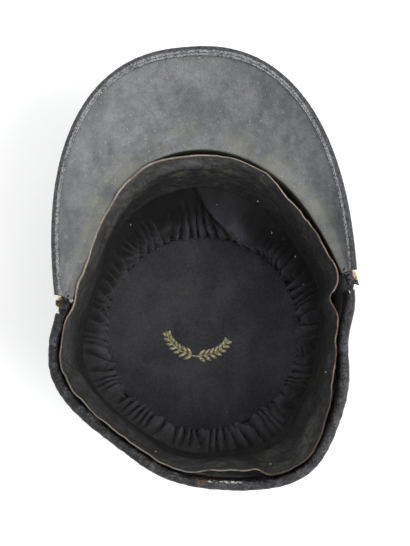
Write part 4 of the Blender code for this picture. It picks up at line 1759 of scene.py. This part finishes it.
    def build(self) -> list[Piece]:
        """Make the lining and dress it."""
        # The skirt's hollows setting gives painted shade in the pleats' creases and painted light on their
        # puffs.
        black = Cloth("skirt_cotton", (0.0120, 0.0118, 0.0138), (0.052, 0.0510, 0.0610), 1300.0,
                      relief=0.00010, sheen=0.10, lint=0.03, patch_scale=45.0, hollows=0.92, mottle=0.26,
                      rough=0.50, specular=0.35).make()
        twill = Cloth("tip_twill", (0.040, 0.040, 0.0455), (0.084, 0.084, 0.093), 1100.0,
                      relief=0.00022, sheen=0.12, lint=0.16, patch_scale=34.0, mottle=0.22).make()
        thread = Thread("seam_thread", (0.010, 0.010, 0.011), (0.045, 0.044, 0.046)).make()
        skirt_mesh = surface_mesh("lining_skirt", self.columns, self.rows, self.skirt_point, True,
                                  self.painted_shading_at)
        skirt = add_piece("lining_skirt_cloth", skirt_mesh, [black], Slot.SKIRT, ["lining_skirt"])
        give_wall(skirt, self.cloth * 0.6)
        tip = add_piece("lining_tip_cloth", self.tip_mesh(), [twill], Slot.TIP, ["lining_tip"])
        sprig = add_piece("leaf_print", self.leaf_print(), [LeafPrint().make()], Slot.GILT)
        give_wall(sprig, self.print_thick)
        return [skirt, tip, sprig, self.seam_stitches(thread)]


@dataclass
class ChinStrap:
    """Leather strap across the front of the band and the two gilt buttons that hold it."""

    form: CapForm
    width: float = 0.0110
    leather: float = 0.0014
    button_drop: float = 0.0060
    button_radius: float = 0.0048
    button_dome: float = 0.0040
    button_edge: float = 0.0007
    shank_radius: float = 0.0011
    columns: int = 320
    rows: int = 22

    def strap_point(self, along: float, down: float) -> Vector:
        """Middle of the strap's leather, creased along both edges.

        Args:
            along: Share along the piece.
            down: Share down or across it.

        Returns:
            The point.
        """
        angle = self.form.strap_start + (self.form.strap_end - self.form.strap_start) * along
        to_end = math.radians(min(self.form.strap_start - angle, angle - self.form.strap_end))
        closeness = min(to_end / (self.width / 2 / self.form.rim_half_width), 1.0)
        half = self.width / 2 * (0.30 + 0.70 * math.sqrt(max(closeness * (2.0 - closeness), 0.0)))
        side = 2.0 * down - 1.0
        crease = 0.00024 * bell(abs(side) - 0.74, 0.05)
        inset = self.form.wall_half + self.form.clearance + self.leather / 2
        wave = 0.00010 * around(angle, 70.0, 3.0 * down, 6.0)
        return self.form.wall_point(angle, self.button_drop + side * half, crease - wave - inset)

    def button_mesh(self, angle: float, name: str) -> bpy.types.Mesh:
        """Domed button with a beaded border, standing on the strap.

        Args:
            angle: Degrees round the opening.
            name: Name of the mesh.

        Returns:
            The mesh.
        """
        seat = self.form.wall_half + self.form.clearance * 2 + self.leather
        radius = self.button_radius
        crown = self.button_dome - self.button_edge
        dome = [(radius * 0.80 * math.sin(math.radians(lean)),
                 seat + self.button_edge + crown * (0.30 + 0.70 * math.cos(math.radians(lean))))
                for lean in range(0, 91, 9)]
        border = [(radius * 0.84, seat + self.button_edge + crown * 0.18)]
        border += [(radius * 0.92 + radius * 0.08 * math.cos(math.radians(lean)),
                    seat + self.button_edge * 1.3 + self.button_edge * 0.9 * math.sin(math.radians(lean)))
                   for lean in (130, 90, 50, 10, -30)]
        foot = [(radius * 0.97, seat), (self.shank_radius, seat), (self.shank_radius, self.form.wall_half),
                (0.0, self.form.wall_half)]
        form = turned_form(dome + border + foot, 48)
        point, away = self.form.wall_frame(angle, self.button_drop)
        stand = Matrix.Translation(point) @ away.to_track_quat("Z", "Y").to_matrix().to_4x4()
        bmesh.ops.transform(form, matrix=stand, verts=form.verts)
        return mesh_from(form, name)

    def build(self) -> list[Piece]:
        """Make the strap and the buttons and dress them."""
        leather = StrapLeather().make()
        strap_mesh = surface_mesh("chin_strap", self.columns, self.rows, self.strap_point)
        strap = add_piece("chin_strap_leather", strap_mesh, [leather], Slot.STRAP, ["chin_strap"])
        give_wall(strap, self.leather, 0.0003)
        gilt = Gilt().make()
        made = [strap]
        for side, angle in (("right", self.form.button_right), ("left", self.form.button_left)):
            mesh = self.button_mesh(angle, f"side_button_{side}")
            made.append(add_piece(f"button_{side}", mesh, [gilt], Slot.GILT, [f"side_button_{side}"]))
        return made


@dataclass
class StrapEnds:
    """Hardened leather knots beside the buttons and the loose sewing threads there."""

    form: CapForm
    lumps: int = 7

    def knot(self, name: str, angle: float, drop: float, inset: float, size: float,
             finish: Finish, seed: int) -> Piece:
        """Crumpled end of the strap's fastening.

        Args:
            name: Name of the piece.
            angle: Degrees round the opening.
            drop: Distance below the rim.
            inset: Distance from the seam line towards the head.
            size: Half its width.
            finish: Its material.
            seed: Seed of its lumps.

        Returns:
            The piece.
        """
        draw = random.Random(seed)
        form = bmesh.new()
        middle = self.form.wall_point(angle, drop, inset)
        for _ in range(self.lumps):
            spot = middle + Vector([draw.uniform(-0.7, 0.7) * size for _ in range(3)])
            spin = (Matrix.Rotation(draw.uniform(0.0, math.pi), 4, "Z")
                    @ Matrix.Rotation(draw.uniform(0.0, 1.2), 4, "X"))
            ranges = ((0.6, 1.0), (0.35, 0.6), (0.35, 0.6))
            halves = [size * draw.uniform(low, high) for low, high in ranges]
            add_ball(form, spot, spin, halves, 3)
        for vert in form.verts:
            vert.co += vert.normal * size * 0.16 * noise.noise(vert.co * 900.0)
        return add_piece(name, mesh_from(form, name), [finish], Slot.STRAP)

    def thread(self, name: str, points: Iterable[Vector], radius: float, finish: Finish) -> Piece:
        """Loose strand through points.

        Args:
            name: Name of the piece.
            points: Points that it runs through.
            radius: Half its thickness.
            finish: Material of the thread.

        Returns:
            The piece.
        """
        curve = bpy.data.curves.new(name, "CURVE")
        curve.dimensions = "3D"
        curve.bevel_depth = radius
        curve.bevel_resolution = 3
        curve.resolution_u = 8
        spots = list(points)
        spline = curve.splines.new("BEZIER")
        spline.bezier_points.add(len(spots) - 1)
        for knot, spot in zip(spline.bezier_points, spots):
            knot.co = spot
            knot.handle_left_type = knot.handle_right_type = "AUTO"
        holder = bpy.data.objects.new(name, curve)
        bpy.context.scene.collection.objects.link(holder)
        mesh = bpy.data.meshes.new_from_object(holder.evaluated_get(bpy.context.evaluated_depsgraph_get()))
        bpy.data.objects.remove(holder)
        for face in mesh.polygons:
            face.use_smooth = True
        return add_piece(name, mesh, [finish])

    def build(self) -> list[Piece]:
        """Make the knots and the threads."""
        black = BindingLeather("knot_black", dark=(0.006, 0.006, 0.007), scuffed=(0.03, 0.03, 0.034),
                               rough=0.16, specular=0.7).make()
        brown = StrapLeather(dark=(0.045, 0.022, 0.012), light=(0.19, 0.12, 0.06)).make()
        beige = Thread("beige_knot", (0.24, 0.19, 0.13), (0.46, 0.40, 0.31)).make()
        light = Thread("loose_thread", (0.36, 0.35, 0.34), (0.62, 0.61, 0.60)).make()
        form = self.form
        right, left = form.button_right, form.button_left
        made = [
            self.knot("strap_knot_right", right + 1.6, -0.0008, -0.0002, 0.0021, black, 51),
            self.knot("strap_knot_right_end", right - 1.8, -0.0006, 0.0004, 0.0020, black, 56),
            self.knot("strap_knot_right_brown", right + 1.2, 0.0004, -0.0042, 0.0015, brown, 52),
            self.knot("strap_knot_right_beige", right - 1.6, -0.0016, 0.0030, 0.0010, beige, 53),
            self.knot("strap_knot_left", left - 2.4, 0.0004, -0.0044, 0.0016, brown, 54),
            self.knot("strap_knot_left_black", left - 1.4, -0.0010, -0.0006, 0.0022, black, 55),
            self.knot("strap_knot_left_end", left + 1.8, -0.0004, 0.0002, 0.0021, black, 57),
        ]
        loop = [form.wall_point(left - 5.5 - 0.35 * step, -0.0030 + 0.0004 * step, 0.0020 - 0.0003 * step)
                for step in range(6)]
        made.append(self.thread("thread_left", loop, 0.00022, light))
        return made


@dataclass
class Lint:
    """Flecks of lint on the lining and one curled strand.

    The picture lies as many of its pixels from the eye as far says.
    """

    form: CapForm
    small: int = 90
    reach: float = 0.088
    sky: float = 0.14
    far: float = 1183.0

    def fleck(self, form: Form, x: float, y: float, size: float, ground: BVHTree,
              draw: random.Random) -> None:
        """Add one fleck on whatever lies below a point."""
        spot, normal, _, _ = ground.ray_cast(Vector((x, y, self.sky)), -UP)
        if spot is not None:
            self.lay(form, spot, normal, size, draw)

    def lay(self, form: Form, spot: Vector, normal: Vector, size: float, draw: random.Random) -> None:
        """Lay one ragged fleck on a spot."""
        spin = Matrix.Rotation(draw.uniform(0.0, math.pi), 4, "Z")
        halves = (size, size * draw.uniform(0.3, 0.7), size * 0.35)
        for vert in add_ball(form, spot + normal * size * 0.3, spin, halves, 2):
            vert.co += Vector((1.0, 1.0, 0.6)) * size * 0.7 * noise.noise(vert.co * 1500.0)

    def build(self) -> list[Piece]:
        """Make the flecks and the strand."""
        draw = random.Random(61)
        grounds = [BVHTree.FromObject(bpy.data.objects[name], bpy.context.evaluated_depsgraph_get())
                   for name in ("lining_skirt_cloth", "lining_tip_cloth", "sweatband_leather")]
        pale = Thread("lint", (0.12, 0.118, 0.110), (0.34, 0.335, 0.31)).make()
        form = bmesh.new()
        roll = Matrix.Rotation(math.radians(Studio.roll), 3, "Z")
        for fleck in FLECKS:
            sight = roll @ Vector((fleck.across, fleck.up, -self.far))
            hits = [ground.ray_cast(Vector(Studio.eye), sight) for ground in grounds]
            spot, normal, _, _ = min((hit for hit in hits if hit[0] is not None), key=lambda hit: hit[3])
            self.lay(form, spot, normal, fleck.size, draw)
        for _ in range(self.small):
            turn, reach = draw.uniform(0.0, 2 * math.pi), math.sqrt(draw.uniform(0.0, 1.0)) * self.reach
            self.fleck(form, reach * math.cos(turn), reach * math.sin(turn) - 0.006,
                       draw.uniform(0.00015, 0.00034), grounds[draw.randrange(3)], draw)
        specks = add_piece("lint_flecks", mesh_from(form, "lint_flecks"), [pale])
        strand = []
        for step in range(9):
            turn = math.radians(205.0 + 17.0 * step)
            x, y = -0.0585 + 0.0032 * math.cos(turn), 0.0320 + 0.0024 * math.sin(turn)
            spots = [ground.ray_cast(Vector((x, y, self.sky)), -UP)[0] for ground in grounds[:2]]
            height = min(spot.z for spot in spots if spot is not None)
            strand.append(Vector((x, y, min(height, 0.012) + 0.0006 + 0.0002 * step)))
        curl = StrapEnds(self.form).thread("lint_strand", strand, 0.00020, pale)
        return [specks, curl]


@dataclass
class Studio:
    """Plain pale floor, soft light and the camera straight above the cap."""

    eye: tuple[float, float, float] = (-0.0053, -0.0406, 0.800)
    roll: float = 175.0
    lens: float = 78.0
    floor_radius: float = 12.0
    paper_glow: float = 0.30
    sky: Colour = (0.98, 0.99, 1.0)
    sky_strength: float = 0.73

    def floor(self) -> Piece:
        """Pale floor under the cap."""
        form = bmesh.new()
        bmesh.ops.create_circle(form, cap_ends=True, segments=96, radius=self.floor_radius)
        mesh = mesh_from(form, "floor")
        paint = Palette("pale_paper")
        tone = paint.sketch.step(paint.patches(3.0, 0.2, 0.8), 0.0, 1.0, 0.86, 0.88)
        colour = paint.sketch.add("ShaderNodeCombineColor", {0: tone, 1: tone, 2: tone}).outputs[0]
        mesh.materials.append(paint.set(Base_Color=colour, Roughness=0.9, Specular_IOR_Level=0.1,
                                        Emission_Color=(1.0, 0.995, 0.98),
                                        Emission_Strength=self.paper_glow))
        ground = bpy.data.objects.new("floor", mesh)
        bpy.context.scene.collection.objects.link(ground)
        return ground

    def light(self, name: str, place: tuple[float, float, float], size: float, power: float) -> None:
        """Large soft light that faces the cap.

        Args:
            name: Name of the light.
            place: Where it stands.
            size: Width of its disc.
            power: Its power in watts.
        """
        lamp = bpy.data.lights.new(name, "AREA")
        lamp.shape = "DISK"
        lamp.size = size
        lamp.energy = power
        holder = bpy.data.objects.new(name, lamp)
        bpy.context.scene.collection.objects.link(holder)
        holder.location = place
        aim = Vector((0.0, 0.0, 0.06)) - Vector(place)
        holder.rotation_euler = aim.to_track_quat("-Z", "Y").to_euler()

    def build(self) -> None:
        """Make the floor, the lights, the surroundings and the camera."""
        self.floor()
        world = bpy.data.worlds.new("studio")
        bpy.context.scene.world = world
        world.use_nodes = True
        background = world.node_tree.nodes["Background"]
        background.inputs["Color"].default_value = (*self.sky, 1.0)
        background.inputs["Strength"].default_value = self.sky_strength
        self.light("key", (-1.0, 0.30, 1.25), 1.3, 18.0)
        self.light("fill", (0.6, -0.9, 1.3), 1.1, 4.0)
        camera = bpy.data.cameras.new("camera")
        camera.lens = self.lens
        camera.sensor_width = 36.0
        camera.clip_start = 0.01
        holder = bpy.data.objects.new("camera", camera)
        bpy.context.scene.collection.objects.link(holder)
        holder.location = self.eye
        holder.rotation_euler = (0.0, 0.0, math.radians(self.roll))
        bpy.context.scene.camera = holder
        bpy.context.scene.view_settings.view_transform = "Standard"


def main() -> None:
    """Build the cap's looks round its frame and report each piece."""
    logging.basicConfig(level=logging.INFO, format="%(message)s")
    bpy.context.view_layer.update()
    form = CapForm()
    Studio().build()
    wide_peak = replace(form, peak_gap=form.peak_gap - PEAK_WIDENING)
    for part in (CrownCloth(form), RimBinding(form), Peak(wide_peak), Sweatband(form), Lining(form),
                 ChinStrap(form), StrapEnds(form), Lint(form)):
        for piece in part.build():
            LOG.info("%s: %s, %d faces", type(part).__name__, piece.name, len(piece.data.polygons))


if __name__ == "__main__":
    main()
